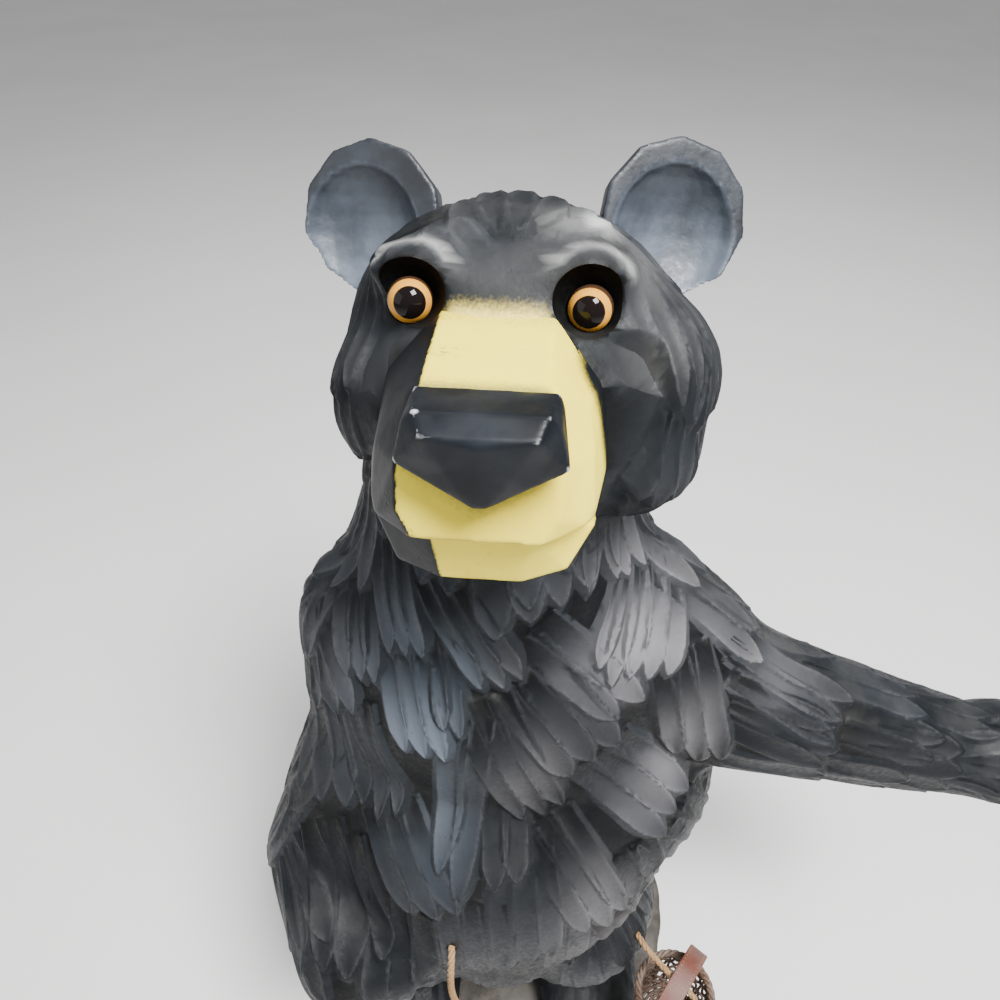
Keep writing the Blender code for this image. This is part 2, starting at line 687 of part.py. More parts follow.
def make_base(material):
    """Low oval base with a chamfered, slightly lobed edge."""
    shape = bmesh.new()
    bmesh.ops.create_cone(shape, cap_ends=True, segments=28, radius1=0.5, radius2=0.5,
                          depth=BASE_THICKNESS)
    for vertex in shape.verts:
        around = math.atan2(vertex.co.y, vertex.co.x)
        wave = 1.0 + 0.015 * math.sin(3 * around + 0.7) + 0.012 * math.sin(5 * around)
        vertex.co.x *= BASE_WIDTH * wave
        vertex.co.y *= BASE_DEPTH * wave
        vertex.co.z += BASE_THICKNESS / 2
    top = [edge for edge in shape.edges if all(v.co.z > BASE_THICKNESS * 0.9 for v in edge.verts)]
    bmesh.ops.bevel(shape, geom=top, offset=BASE_EDGE_CUT, offset_type="OFFSET", segments=1,
                    profile=0.5, affect="EDGES", material=-1)
    base = object_from_bmesh("base", shape, PARTS)
    base.data.materials.append(material)


def main():
    """Build every piece."""
    resin = make_material("charcoal resin", (0.045, 0.05, 0.06), 0.55)
    glass = make_material("eye glass", (0.02, 0.012, 0.008), 0.08)
    ground = make_material("base resin", (0.05, 0.04, 0.03), 0.7)
    wicker = make_material("brown wicker", (0.13, 0.075, 0.045), 0.7)
    leather = make_material("red brown leather", (0.27, 0.09, 0.06), 0.55)
    jute = make_material("jute twine", (0.50, 0.34, 0.19), 0.9)
    make_bear(resin)
    make_eyes(glass)
    make_base(ground)
    make_basket(wicker)
    make_handle(leather)
    make_twine(jute)


main()
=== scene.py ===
"""Looks of a resin bear door greeter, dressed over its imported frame.

A young bear in cast resin stands on a low base with one arm held out. Its coat looks cut with a
gouge, its muzzle is sprayed cream, and a small wicker basket hangs on a jute twine by its thigh.
Everything is in metres, +Z up, with the bear facing -Y.
"""

import logging
import math
from collections.abc import Iterable, Sequence
from dataclasses import dataclass
from enum import Enum
from itertools import product

import bmesh
import bpy
import numpy as np
from mathutils import Matrix, Quaternion, Vector


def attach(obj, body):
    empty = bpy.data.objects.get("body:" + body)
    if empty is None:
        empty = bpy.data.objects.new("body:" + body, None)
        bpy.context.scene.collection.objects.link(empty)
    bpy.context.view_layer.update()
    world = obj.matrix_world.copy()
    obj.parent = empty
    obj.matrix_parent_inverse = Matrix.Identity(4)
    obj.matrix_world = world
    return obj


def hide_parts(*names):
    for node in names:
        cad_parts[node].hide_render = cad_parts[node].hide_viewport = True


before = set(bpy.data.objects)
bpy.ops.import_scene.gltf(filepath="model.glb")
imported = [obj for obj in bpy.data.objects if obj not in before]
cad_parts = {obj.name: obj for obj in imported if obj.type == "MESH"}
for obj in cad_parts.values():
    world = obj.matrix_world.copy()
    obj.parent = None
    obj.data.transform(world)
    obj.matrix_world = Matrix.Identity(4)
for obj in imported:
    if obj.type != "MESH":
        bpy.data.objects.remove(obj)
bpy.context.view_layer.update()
LOG = logging.getLogger("bear_greeter")

Node = bpy.types.ShaderNode
Tree = bpy.types.NodeTree


class Side(Enum):
    """The bear's own right and left."""

    RIGHT = -1
    LEFT = 1


class Dress(Enum):
    """Which finish a face of the bear takes, by the number of its material slot."""

    FUR = 0
    MUZZLE = 1
    NOSE = 2
    EAR = 3


@dataclass(frozen=True)
class Figure:
    """Sizes of the figure and the frames that its forms are drawn in.

    Attributes:
        height: Height of the figure over its base.
        base_thickness: Thickness of the base.
        seat_gap: Gap between pieces that touch.
    """

    height: float = 0.600
    base_thickness: float = 0.022
    seat_gap: float = 0.0003

    @property
    def step(self) -> float:
        """One six-hundredth of the figure's height."""
        return self.height / 600.0

    @property
    def sole_level(self) -> float:
        """Level of the soles in the world."""
        return self.base_thickness + self.seat_gap

    @property
    def head(self) -> Matrix:
        """Matrix from the head's steps, centred between the eyes, to the world."""
        turn = (Matrix.Rotation(math.radians(-3.5), 4, "Z")
                @ Matrix.Rotation(math.radians(-25.0), 4, "X")
                @ Matrix.Rotation(math.radians(1.0), 4, "Y"))
        return Matrix.Translation(self.on(0.0, -20.0, 562.7)) @ turn @ Matrix.Scale(self.step, 4)

    @property
    def head_turn(self) -> Quaternion:
        """Turn of the head alone."""
        return self.head.to_quaternion()

    def on(self, x: float, y: float, z: float) -> Vector:
        """World place of a point given in steps above the soles."""
        return Vector((x * self.step, y * self.step, self.sole_level + z * self.step))

    def on_head(self, x: float, y: float, z: float) -> Vector:
        """World place of a point given in the head's steps."""
        return self.head @ Vector((x, y, z))

    def head_places(self, places: np.ndarray) -> np.ndarray:
        """World places, one to a row, turned into the head's steps."""
        return moved(places, self.head.inverted())


FIGURE = Figure()


def moved(places: np.ndarray, matrix: Matrix) -> np.ndarray:
    """Places, one to a row, moved by a matrix."""
    rows = np.array(matrix)
    return places @ rows[:3, :3].T + rows[:3, 3]


def aimed(way: Vector) -> Matrix:
    """Turn that brings +Z along a direction."""
    return way.to_track_quat("Z", "Y").to_matrix().to_4x4()


def ramp(value: np.ndarray, low: float, high: float) -> np.ndarray:
    """Smooth rise from 0 at low to 1 at high.

    Args:
        value: Values to shape.
        low: Where the rise starts.
        high: Where it ends.

    Returns:
        The risen values.
    """
    share = np.clip((value - low) / (high - low), 0.0, 1.0)
    return share * share * (3.0 - 2.0 * share)


def mesh_arrays(mesh: bpy.types.Mesh) -> tuple[np.ndarray, np.ndarray]:
    """Vertex places and normals of a mesh.

    Args:
        mesh: The mesh to read.

    Returns:
        Places and normals, one vertex to a row.
    """
    places = np.empty(len(mesh.vertices) * 3, dtype=np.float32)
    mesh.vertices.foreach_get("co", places)
    normals = np.empty(len(mesh.vertices) * 3, dtype=np.float32)
    mesh.vertex_normals.foreach_get("vector", normals)
    return places.reshape(-1, 3).astype(float), normals.reshape(-1, 3).astype(float)


def averaged(mesh: bpy.types.Mesh, values: np.ndarray, passes: int) -> np.ndarray:
    """Values averaged along the edges of a mesh.

    Args:
        mesh: The mesh.
        values: One row for each vertex.
        passes: How often to average.

    Returns:
        The averaged values.
    """
    edges = np.empty(len(mesh.edges) * 2, dtype=np.int32)
    mesh.edges.foreach_get("vertices", edges)
    edges = edges.reshape(-1, 2)
    count = np.maximum(np.bincount(edges.ravel(), minlength=len(values)), 1).astype(float)
    for _ in range(passes):
        total = np.stack([
            np.bincount(edges[:, 0], values[edges[:, 1], axis], len(values))
            + np.bincount(edges[:, 1], values[edges[:, 0], axis], len(values))
            for axis in range(values.shape[1])], axis=1)
        values = 0.5 * values + 0.5 * total / count[:, None]
    return values


def put_places(mesh: bpy.types.Mesh, places: np.ndarray) -> None:
    """Write vertex places, one to a row, back into a mesh."""
    mesh.vertices.foreach_set("co", places.astype(np.float32).ravel())
    mesh.update()


def put_attribute(mesh: bpy.types.Mesh, name: str, values: np.ndarray) -> None:
    """Store one number for each vertex under a name that a material reads."""
    layer = mesh.attributes.get(name) or mesh.attributes.new(name, "FLOAT", "POINT")
    layer.data.foreach_set("value", values.astype(np.float32))


def new_object(name: str, shape: bmesh.types.BMesh) -> bpy.types.Object:
    """Object made of a bmesh, which is freed.

    Args:
        name: Name of the object.
        shape: Its mesh.

    Returns:
        The object, linked to the scene.
    """
    mesh = bpy.data.meshes.new(name)
    bmesh.ops.recalc_face_normals(shape, faces=shape.faces)
    shape.to_mesh(mesh)
    shape.free()
    made = bpy.data.objects.new(name, mesh)
    bpy.context.scene.collection.objects.link(made)
    return made


def settled(thing: bpy.types.Object) -> bpy.types.Mesh:
    """Mesh of an object as its modifiers leave it."""
    bpy.context.view_layer.update()
    depsgraph = bpy.context.evaluated_depsgraph_get()
    return bpy.data.meshes.new_from_object(thing.evaluated_get(depsgraph))


def settle(thing: bpy.types.Object) -> bpy.types.Object:
    """Make an object's modifiers part of its mesh.

    Args:
        thing: The object to settle.

    Returns:
        The same object, with no modifiers.
    """
    mesh = settled(thing)
    thing.modifiers.clear()
    thing.data = mesh
    return thing


def dressed(name: str, shape: bmesh.types.BMesh, finish: bpy.types.Material,
            sharp: float | None = None) -> bpy.types.Object:
    """Smooth-shaded object in one material.

    Args:
        name: Name of the object.
        shape: Its mesh, which is freed.
        finish: Its material.
        sharp: Angle in degrees from which an edge stays sharp.

    Returns:
        The object.
    """
    made = new_object(name, shape)
    made.data.materials.append(finish)
    made.data.shade_smooth()
    if sharp is not None:
        made.data.set_sharp_from_angle(angle=math.radians(sharp))
    return made


def discard(*things: bpy.types.Object) -> None:
    """Remove helper objects."""
    for thing in things:
        bpy.data.objects.remove(thing, do_unlink=True)


def round_edges(shape: bmesh.types.BMesh, edges: Iterable[bmesh.types.BMEdge], offset: float,
                segments: int = 2) -> None:
    """Round edges of a bmesh off by an offset in metres."""
    bmesh.ops.bevel(shape, geom=edges, offset=offset, offset_type="OFFSET", segments=segments,
                    profile=0.5, affect="EDGES", material=-1)


def triangles(mesh: bpy.types.Mesh) -> int:
    """Number of triangles that a mesh's faces come to."""
    return len(mesh.loops) - 2 * len(mesh.polygons)


def even_skin(thing: bpy.types.Object, voxel: float, passes: int) -> None:
    """Add modifiers that give a piece one even skin.

    Args:
        thing: The piece.
        voxel: Size of its faces in steps.
        passes: Passes of smoothing.
    """
    remesh = thing.modifiers.new("even skin", "REMESH")
    remesh.mode = "VOXEL"
    remesh.voxel_size = voxel * FIGURE.step
    relax = thing.modifiers.new("softer joins", "SMOOTH")
    relax.factor = 0.5
    relax.iterations = passes


def add_ellipsoid(shape: bmesh.types.BMesh, centre: Vector, radii: Sequence[float],
                  turn: Matrix = Matrix.Identity(4), segments: tuple[int, int] = (28, 16)) -> None:
    """Add an ellipsoid whose centre is in the world and whose radii are in steps.

    Args:
        shape: The bmesh to add to.
        centre: Its centre in the world.
        radii: Its three radii in steps.
        turn: Its turn.
        segments: Faces round it and from pole to pole.
    """
    stretch = Matrix.Diagonal((*(radius * FIGURE.step for radius in radii), 1.0))
    bmesh.ops.create_uvsphere(shape, u_segments=segments[0], v_segments=segments[1], radius=1.0,
                              matrix=Matrix.Translation(centre) @ turn @ stretch)


def add_limb(shape: bmesh.types.BMesh, joints: Sequence[tuple[Vector, float]]) -> None:
    """Add a limb: a ball at each joint and a cone between each two.

    Args:
        shape: The bmesh to add to.
        joints: World centre and radius in steps of each joint.
    """
    for centre, radius in joints:
        add_ellipsoid(shape, centre, (radius, radius, radius))
    for (start, start_radius), (end, end_radius) in zip(joints, joints[1:]):
        bmesh.ops.create_cone(shape, cap_ends=True, segments=28,
                              radius1=start_radius * FIGURE.step,
                              radius2=end_radius * FIGURE.step, depth=(end - start).length,
                              matrix=Matrix.Translation((start + end) / 2) @ aimed(end - start))


@dataclass(frozen=True)
class Lie:
    """Which way the fur lies near a place, and how large its flutes are there.

    Attributes:
        place: Place in steps.
        way: Direction of the fur.
        reach: How far the guide is felt, in steps.
        size: Length and width of a flute and depth of its cut, in steps.
    """

    place: tuple[float, float, float]
    way: tuple[float, float, float]
    reach: float
    size: tuple[float, float, float]


@dataclass(frozen=True)
class Tuft:
    """Flutes cut side by side, ending in one ragged edge.

    Attributes:
        root: Where the middle flute starts, in steps: across and up on the front of the body,
            or across, back and up on the head.
        tip: Where it ends.
        flutes: How many flutes lie side by side.
        width: Width of one flute in steps.
    """

    root: tuple[float, ...]
    tip: tuple[float, ...]
    flutes: int
    width: float


@dataclass(frozen=True)
class Flute:
    """One concave cut of the gouge, flush at its root and proud at its tip.

    Attributes:
        place: Middle of the cut.
        up: Out of the skin.
        along: From its root to its tip.
        length: Length of the cut.
        width: Full width of the cut.
        rank: How far it lies over others, as a share of the depth.
        tone: How light its paint is, from 0 to 1.
    """

    place: np.ndarray
    up: np.ndarray
    along: np.ndarray
    length: float
    width: float
    rank: float
    tone: float


@dataclass
class Fur:
    """The carved coat: tufts of flutes that overlap like shingles, and flat cuts on the face.

    Attributes:
        seed: Seed of the chosen places.
        spacing: Shares of a tuft's length and width that keep its neighbours off.
        swing: Largest turn of a tuft off the lie of the fur.
        lift: Rise from a flute's root to its tip as a share of the cut.
        hollow: Depth of a flute's hollow as a share of the cut.
        slope: Run in steps over which a tuft's edge falls by the depth of its cut.
        taper: Share of a flute's length where its pointed end starts.
        overlap: Width of a flute over the distance to the next one in its tuft.
        fan: How far the flutes of a tuft spread.
        named_rank: How far a named tuft lies over the others.
        plain_rise: Level of the uncut forehead and face as a share of the lift.
        flank_share: Share along a flute whose paint the ground beside it takes.
        cell: Size of the cells that places are sorted into.
        facet_reach: Distance between two flat cuts in steps.
        facet_depth: Depth of a flat cut in steps.
        body_lies: Lies of the fur on the body.
        head_lies: Lies of the fur on the head.
        body_tufts: Tufts with a place of their own on the front of the body.
        head_tufts: Tufts with a place of their own on the head.
    """

    seed: int = 11
    spacing: tuple[float, float] = (0.56, 0.54)
    swing: float = 0.20
    lift: float = 0.55
    hollow: float = 0.36
    slope: float = 5.0
    taper: float = 0.72
    overlap: float = 1.12
    fan: float = 0.16
    named_rank: float = 0.10
    plain_rise: float = 0.42
    flank_share: float = 0.34
    cell: float = 0.03
    facet_reach: float = 17.0
    facet_depth: float = 1.0
    body_lies: tuple[Lie, ...] = (
        Lie((-60, -60, 400), (0.25, -0.1, -1.0), 60, (78, 11.5, 4.0)),
        Lie((-20, -80, 360), (0.75, -0.1, -1.0), 60, (80, 12.5, 4.2)),
        Lie((40, -85, 350), (1.3, 0.0, -0.9), 55, (68, 15.0, 5.0)),
        Lie((50, -100, 270), (1.2, 0.1, -1.0), 60, (76, 14.0, 4.6)),
        Lie((-30, -100, 270), (0.2, 0.0, -1.0), 55, (104, 14.0, 4.0)),
        Lie((70, -40, 420), (0.2, -0.5, -1.0), 45, (64, 10.5, 3.6)),
        Lie((150, -20, 340), (1.0, 0.0, -0.35), 80, (78, 12.5, 3.8)),
        Lie((260, -20, 300), (1.0, 0.0, -0.10), 70, (60, 12.0, 3.0)),
        Lie((-115, -20, 300), (-0.15, -0.1, -1.0), 60, (92, 15.0, 4.0)),
        Lie((-100, -90, 215), (0.8, -0.9, -0.5), 40, (64, 13.0, 3.8)),
        Lie((0, 90, 350), (0.0, 0.1, -1.0), 120, (84, 16.0, 4.4)),
        Lie((0, 60, 150), (0.0, 0.1, -1.0), 120, (80, 16.0, 4.2)),
        Lie((60, -60, 30), (0.0, -1.0, -0.25), 45, (36, 10.5, 3.2)),
        Lie((-60, -60, 30), (0.0, -1.0, -0.25), 45, (36, 10.5, 3.2)),
    )
    head_lies: tuple[Lie, ...] = (
        Lie((-12, -5, 25), (-0.30, 1.0, 0.9), 26, (40, 7.5, 2.4)),
        Lie((12, -5, 25), (0.30, 1.0, 0.9), 26, (40, 7.5, 2.4)),
        Lie((0, 45, 40), (0.0, 1.0, 0.1), 36, (44, 9.0, 3.2)),
        Lie((50, 20, 0), (0.35, -0.35, -1.0), 34, (50, 6.0, 2.8)),
        Lie((-50, 20, 0), (-0.30, -0.30, -1.0), 34, (50, 7.5, 2.8)),
        Lie((60, 35, -40), (0.0, 0.4, -1.0), 40, (48, 8.5, 3.4)),
        Lie((-60, 35, -40), (0.0, 0.4, -1.0), 40, (48, 8.5, 3.4)),
        Lie((0, 95, 0), (0.0, 0.3, -1.0), 60, (56, 12.0, 4.2)),
    )
    body_tufts: tuple[Tuft, ...] = (
        Tuft((-68, 440), (-70, 392), 3, 7.5),
        Tuft((-53, 462), (-44, 412), 3, 8.0),
        Tuft((-50, 420), (-40, 366), 3, 9.0),
        Tuft((-30, 460), (0, 412), 3, 8.0),
        Tuft((-31, 426), (-22, 388), 2, 6.5),
        Tuft((-12, 407), (27, 326), 3, 9.5),
        Tuft((25, 322), (64, 240), 3, 10.5),
        Tuft((54, 245), (75, 188), 3, 11.0),
        Tuft((18, 434), (66, 383), 2, 12.0),
        Tuft((8, 418), (46, 362), 3, 12.0),
        Tuft((47, 370), (97, 299), 3, 12.0),
        Tuft((72, 445), (61, 398), 5, 8.5),
        Tuft((84, 410), (93, 325), 3, 9.5),
        Tuft((-21, 390), (-25, 290), 2, 11.5),
        Tuft((-1, 344), (3, 297), 2, 11.0),
        Tuft((10, 312), (16, 226), 3, 11.5),
        Tuft((38, 268), (42, 198), 2, 12.0),
        Tuft((-15, 288), (-12, 206), 3, 12.0),
        Tuft((-76, 382), (-65, 307), 3, 10.0),
        Tuft((-63, 314), (-37, 266), 3, 12.0),
        Tuft((-98, 288), (-83, 230), 3, 14.0),
        Tuft((-60, 266), (-48, 203), 3, 13.0),
        Tuft((71, 294), (84, 252), 2, 13.0),
        Tuft((106, 404), (173, 357), 3, 11.0),
        Tuft((108, 381), (170, 344), 3, 10.5),
    )
    head_tufts: tuple[Tuft, ...] = (
        Tuft((-5, -7, 10), (-17, 30, 38), 1, 10.0),
        Tuft((0, -6, 14), (-6, 33, 40), 1, 9.5),
        Tuft((3, -5, 15), (6, 33, 40), 1, 9.0),
        Tuft((6, -7, 11), (18, 30, 37), 1, 9.0),
        Tuft((9, -1, 18), (34, 27, 31), 2, 7.0),
        Tuft((-4, -8, 4), (-22, 12, 28), 2, 8.0),
        Tuft((-12, 12, 29), (-36, -3, 14), 2, 8.5),
        Tuft((36, 20, 27), (61, -4, -33), 5, 6.0),
        Tuft((52, 26, 14), (68, 8, -38), 3, 7.0),
        Tuft((57, 0, -30), (60, 4, -68), 3, 8.0),
        Tuft((-44, 18, 20), (-60, 2, -34), 3, 7.5),
        Tuft((-57, 6, -26), (-56, 8, -66), 3, 8.5),
    )

    def lies(self) -> list[tuple[np.ndarray, np.ndarray, float, np.ndarray]]:
        """World place, unit direction, reach and flute size of every lie of the fur."""
        turn = FIGURE.head_turn
        rows = [(FIGURE.on(*lie.place), Vector(lie.way), lie) for lie in self.body_lies]
        rows += [(FIGURE.on_head(*lie.place), turn @ Vector(lie.way), lie)
                 for lie in self.head_lies]
        return [(np.array(place), np.array(way.normalized()), lie.reach * FIGURE.step,
                 np.array(lie.size) * FIGURE.step) for place, way, lie in rows]

    def flow(self, places: np.ndarray, normals: np.ndarray) -> tuple[np.ndarray, np.ndarray]:
        """Direction of the fur along the skin and the size of its flutes.

        Args:
            places: Places on the skin.
            normals: The skin's normals there.

        Returns:
            One unit direction and one triple of sizes for each place.
        """
        flow = np.zeros_like(places)
        flow[:, 2] = -0.02
        sizes = np.tile(np.array([70.0, 16.0, 4.8]) * FIGURE.step * 0.01, (len(places), 1))
        total = np.full(len(places), 0.01)
        for place, way, reach, size in self.lies():
            weight = np.exp(-((places - place) ** 2).sum(axis=1) / reach ** 2)
            flow += weight[:, None] * way
            sizes += weight[:, None] * size
            total += weight
        flow -= (flow * normals).sum(axis=1)[:, None] * normals
        flow /= np.maximum(np.linalg.norm(flow, axis=1), 1e-9)[:, None]
        return flow, sizes / total[:, None]

    @staticmethod
    def face_share(places: np.ndarray) -> np.ndarray:
        """How much each place belongs to the face, which has flat cuts in place of flutes.

        Args:
            places: Places on the skin.

        Returns:
            A share from 0 to 1 for each.
        """
        x, y, z = FIGURE.head_places(places).T
        head = ramp(z, -92.0, -78.0) * (np.abs(x) < 95)
        front = 1.0 - ramp(y + 0.6 * np.abs(x), 21.0, 29.0)
        return head * front * (1.0 - ramp(z, 9.0, 15.0))

    def named_flutes(self, places: np.ndarray, normals: np.ndarray,
                     chance: np.random.Generator) -> list[Flute]:
        """Flutes of the tufts that have a place of their own.

        Args:
            places: Places on the skin.
            normals: The skin's normals there.
            chance: Source of small differences.

        Returns:
            The flutes.
        """
        facing = np.flatnonzero(normals[:, 1] < -0.1)

        def on_skin(spot: tuple[float, ...]) -> np.ndarray:
            """Place on the skin of a tuft's end.

            Args:
                spot: The end as the tuft gives it.

            Returns:
                The skin's nearest place.
            """
            if len(spot) == 3:
                wanted = np.array(FIGURE.on_head(*spot))
                return places[np.argmin(((places - wanted) ** 2).sum(axis=1))]
            wanted = FIGURE.on(spot[0], 0.0, spot[1])
            gap = np.hypot(places[facing, 0] - wanted.x, places[facing, 2] - wanted.z)
            near = facing[gap < gap.min() + 5 * FIGURE.step]
            return places[near[np.argmin(places[near, 1])]]

        flutes = []
        for tuft in (*self.body_tufts, *self.head_tufts):
            root, tip = on_skin(tuft.root), on_skin(tuft.tip)
            flutes += self.side_by_side(places, normals, (root + tip) / 2, tip - root, tuft.flutes,
                                        tuft.width * FIGURE.step, self.named_rank, chance)
        return flutes

    def side_by_side(self, places: np.ndarray, normals: np.ndarray, middle: np.ndarray,
                     run: np.ndarray, count: int, width: float, rank: float,
                     chance: np.random.Generator) -> list[Flute]:
        """Flutes of one tuft.

        Args:
            places: Places on the skin.
            normals: The skin's normals there.
            middle: Middle of the tuft.
            run: From its root to its tip.
            count: How many flutes it has.
            width: Width of each.
            rank: How far it lies over others.
            chance: Source of small differences.

        Returns:
            The flutes.
        """
        up = normals[np.argmin(((places - middle) ** 2).sum(axis=1))]
        length = float(np.linalg.norm(run))
        aside = np.cross(up, run / length)
        tone = float(chance.uniform())
        flutes = []
        for number in range(count):
            offset = number - (count - 1) / 2
            guess = middle + aside * offset * width
            nearest = np.argmin(((places - guess) ** 2).sum(axis=1))
            out = normals[nearest]
            along = run + aside * offset * width * self.fan
            along = along - (along @ out) * out
            along /= np.linalg.norm(along)
            own = length * float(chance.uniform(0.88, 1.06)) * (1.0 - 0.05 * abs(offset))
            shift = (length - own) * float(chance.uniform(-0.5, 0.3))
            place = guess + out * ((places[nearest] - guess) @ out) + along * shift
            flutes.append(Flute(place, out, along, own, width * self.overlap, rank,
                                float(np.clip(tone + chance.uniform(-0.12, 0.12), 0.0, 1.0))))
        return flutes

    def place_flutes(self, mesh: bpy.types.Mesh) -> list[Flute]:
        """Choose every flute: first the named tufts, then seeded ones between them.

        Args:
            mesh: The plain skin.

        Returns:
            The flutes.
        """
        places, normals = mesh_arrays(mesh)
        flow, sizes = self.flow(places, normals)
        face = self.face_share(places)
        x, y, z = FIGURE.head_places(places).T
        forehead = (np.abs(x) < 42.0) & (y < 14.0) & (z > 0.0) & (z < 27.0)
        chance = np.random.default_rng(self.seed)
        chosen = self.named_flutes(places, normals, chance)
        named = [(flute.place + flute.along * flute.length * share, flute.up)
                 for flute in chosen for share in (-0.22, 0.05, 0.32)]
        kept = np.array([place for place, _ in named])
        ups = np.array([up for _, up in named])
        reach = np.full(len(kept), 0.5)
        for index in chance.permutation(len(places)):
            if face[index] > 0.6 or forehead[index]:
                continue
            here, up, along = places[index], normals[index], flow[index]
            across = np.cross(up, along)
            length, width, _ = sizes[index] * chance.uniform(0.85, 1.15, 3)
            count = int(chance.integers(2, 5)) + (length > 70 * FIGURE.step)
            gap = kept - here
            near = (((gap @ along) / (self.spacing[0] * length * (0.4 + reach))) ** 2
                    + ((gap @ across) / (self.spacing[1] * count * width * (0.4 + reach))) ** 2)
            if np.any((near < 1.0) & (ups @ up > 0.2) & (np.abs(gap @ up) < width * 2)):
                continue
            swing = chance.uniform(-self.swing, self.swing)
            along = along * math.cos(swing) + across * math.sin(swing)
            chosen += self.side_by_side(places, normals, here, along * length, count, width, 0.0,
                                        chance)
            kept = np.vstack([kept, here])
            ups = np.vstack([ups, up])
            reach = np.append(reach, 0.6)
        return chosen

    def cells(self, places: np.ndarray) -> dict[tuple[int, int, int], np.ndarray]:
        """Sort places into cubic cells.

        Args:
            places: Places on the skin.

        Returns:
            The numbers of the places in each cell.
        """
        keys = np.floor(places / self.cell).astype(int)
        order = np.lexsort(keys.T)
        ranked = keys[order]
        starts = np.flatnonzero(np.any(np.diff(ranked, axis=0, prepend=ranked[:1] - 1), axis=1))
        ends = np.append(starts[1:], len(order))
        return {tuple(ranked[start]): order[start:end] for start, end in zip(starts, ends)}

    def carve(self, mesh: bpy.types.Mesh, flutes: Iterable[Flute]) -> None:
        """Cut flutes and facets into a skin, the proudest flute winning.

        Args:
            mesh: The skin, which is changed.
            flutes: The flutes to cut.
        """
        places, normals = mesh_arrays(mesh)
        _, sizes = self.flow(places, normals)
        face = self.face_share(places)
        cells = self.cells(places)
        x, _, z = FIGURE.head_places(places).T
        plain = (1.0 - ramp(np.abs(x), 26.0, 46.0)) * ramp(z, -10.0, 0.0)
        plain *= (1.0 - ramp(z, 18.0, 27.0)) * (1.0 - ramp(places[:, 1], 0.00, 0.02))
        plain = np.maximum(plain, face)
        height = 1.0 - self.lift - self.hollow + (self.plain_rise * self.lift + self.hollow) * plain
        along_share, edge = 0.5 * plain, np.zeros(len(places))
        tone = np.full(len(places), 0.5)
        for flute in flutes:
            across = np.cross(flute.up, flute.along)
            reach = int(math.ceil(flute.length / 2 / self.cell))
            spans = [range(value - reach, value + reach + 1)
                     for value in np.floor(flute.place / self.cell).astype(int)]
            near = np.concatenate([cells[key] for key in product(*spans) if key in cells])
            gap = places[near] - flute.place
            share = (gap @ flute.along) / flute.length + 0.5
            close = (share > 0) & (share < 1.1) & (normals[near] @ flute.up > 0.15)
            near, share, gap = near[close], share[close], gap[close]
            point = np.clip((share - self.taper) / (1.0 - self.taper), 0.0, 1.0)
            half = flute.width / 2 * (1.0 - 0.999 * point ** 1.9) ** 0.8
            across_gap = np.abs(gap @ across)
            aside = np.minimum(across_gap / half, 1.0)
            outside = np.maximum(across_gap - half, 0.0)
            outside += np.maximum(share - 1.0, 0.0) * flute.length
            proud = (1.0 - self.lift * (1.0 - np.minimum(share, 1.0) ** 1.15)
                     - self.hollow * (1.0 - aside ** 2) + flute.rank
                     - outside / (self.slope * FIGURE.step))
            wins = proud > height[near]
            near = near[wins]
            height[near] = proud[wins]
            along_share[near] = np.where(outside > 0.0, self.flank_share, share)[wins]
            edge[near] = np.where(outside > 0.0, 0.0, aside)[wins]
            tone[near] = flute.tone
        height = averaged(mesh, height[:, None], 2)[:, 0]
        cut = sizes[:, 2] * np.clip(1.0 - height, 0.0, 1.15) * (1.0 - face)
        places -= normals * cut[:, None]
        below_eyes = 1.0 - ramp(FIGURE.head_places(places)[:, 2], -13.0, -5.0)
        put_places(mesh, self.chisel(places, normals, face * below_eyes))
        # along also sets the painted shade at the roots of the flutes.
        put_attribute(mesh, "along", along_share * (1.0 - face) + 0.5 * face)
        # edge marks where the painted highlight along the ridges between flutes goes.
        put_attribute(mesh, "edge", edge ** 6 * ramp(along_share, 0.25, 0.8) * (1.0 - face))
        put_attribute(mesh, "tone", tone)

    def chisel(self, places: np.ndarray, normals: np.ndarray, face: np.ndarray) -> np.ndarray:
        """Flat cuts on the face, each a plane laid a little under the skin.

        Args:
            places: Places on the skin.
            normals: The skin's normals there.
            face: Share of the face at each.

        Returns:
            The new places.
        """
        chance = np.random.default_rng(self.seed + 1)
        reach = self.facet_reach * FIGURE.step
        depth = self.facet_depth * FIGURE.step
        seeds = np.empty((0, 3))
        cuts = []
        for index in chance.permutation(np.flatnonzero(face > 0.15)):
            if not len(seeds) or ((seeds - places[index]) ** 2).sum(axis=1).min() > reach ** 2:
                seeds = np.vstack([seeds, places[index]])
                cuts.append((places[index].copy(), normals[index]))
        for place, out in cuts:
            gap = places - place
            near = np.flatnonzero((gap ** 2).sum(axis=1) < (1.7 * reach) ** 2)
            over = np.maximum(gap[near] @ out + depth, 0.0)
            over *= (normals[near] @ out > 0.3)
            places[near] -= out * (over * np.minimum(face[near] * 2.0, 1.0))[:, None]
        return places


@dataclass(frozen=True)
class Spot:
    """Soft round patch where the paint is lighter.

    Attributes:
        centre: Its centre in steps.
        radii: How far it reaches along each axis, in steps.
        amount: Its strength in the middle.
    """

    centre: tuple[float, float, float]
    radii: tuple[float, float, float]
    amount: float

    def share(self, places: np.ndarray) -> np.ndarray:
        """Strength of the patch at each place, in steps."""
        away = (places - np.array(self.centre)) / np.array(self.radii)
        return self.amount * np.exp(-(away ** 2).sum(axis=1))


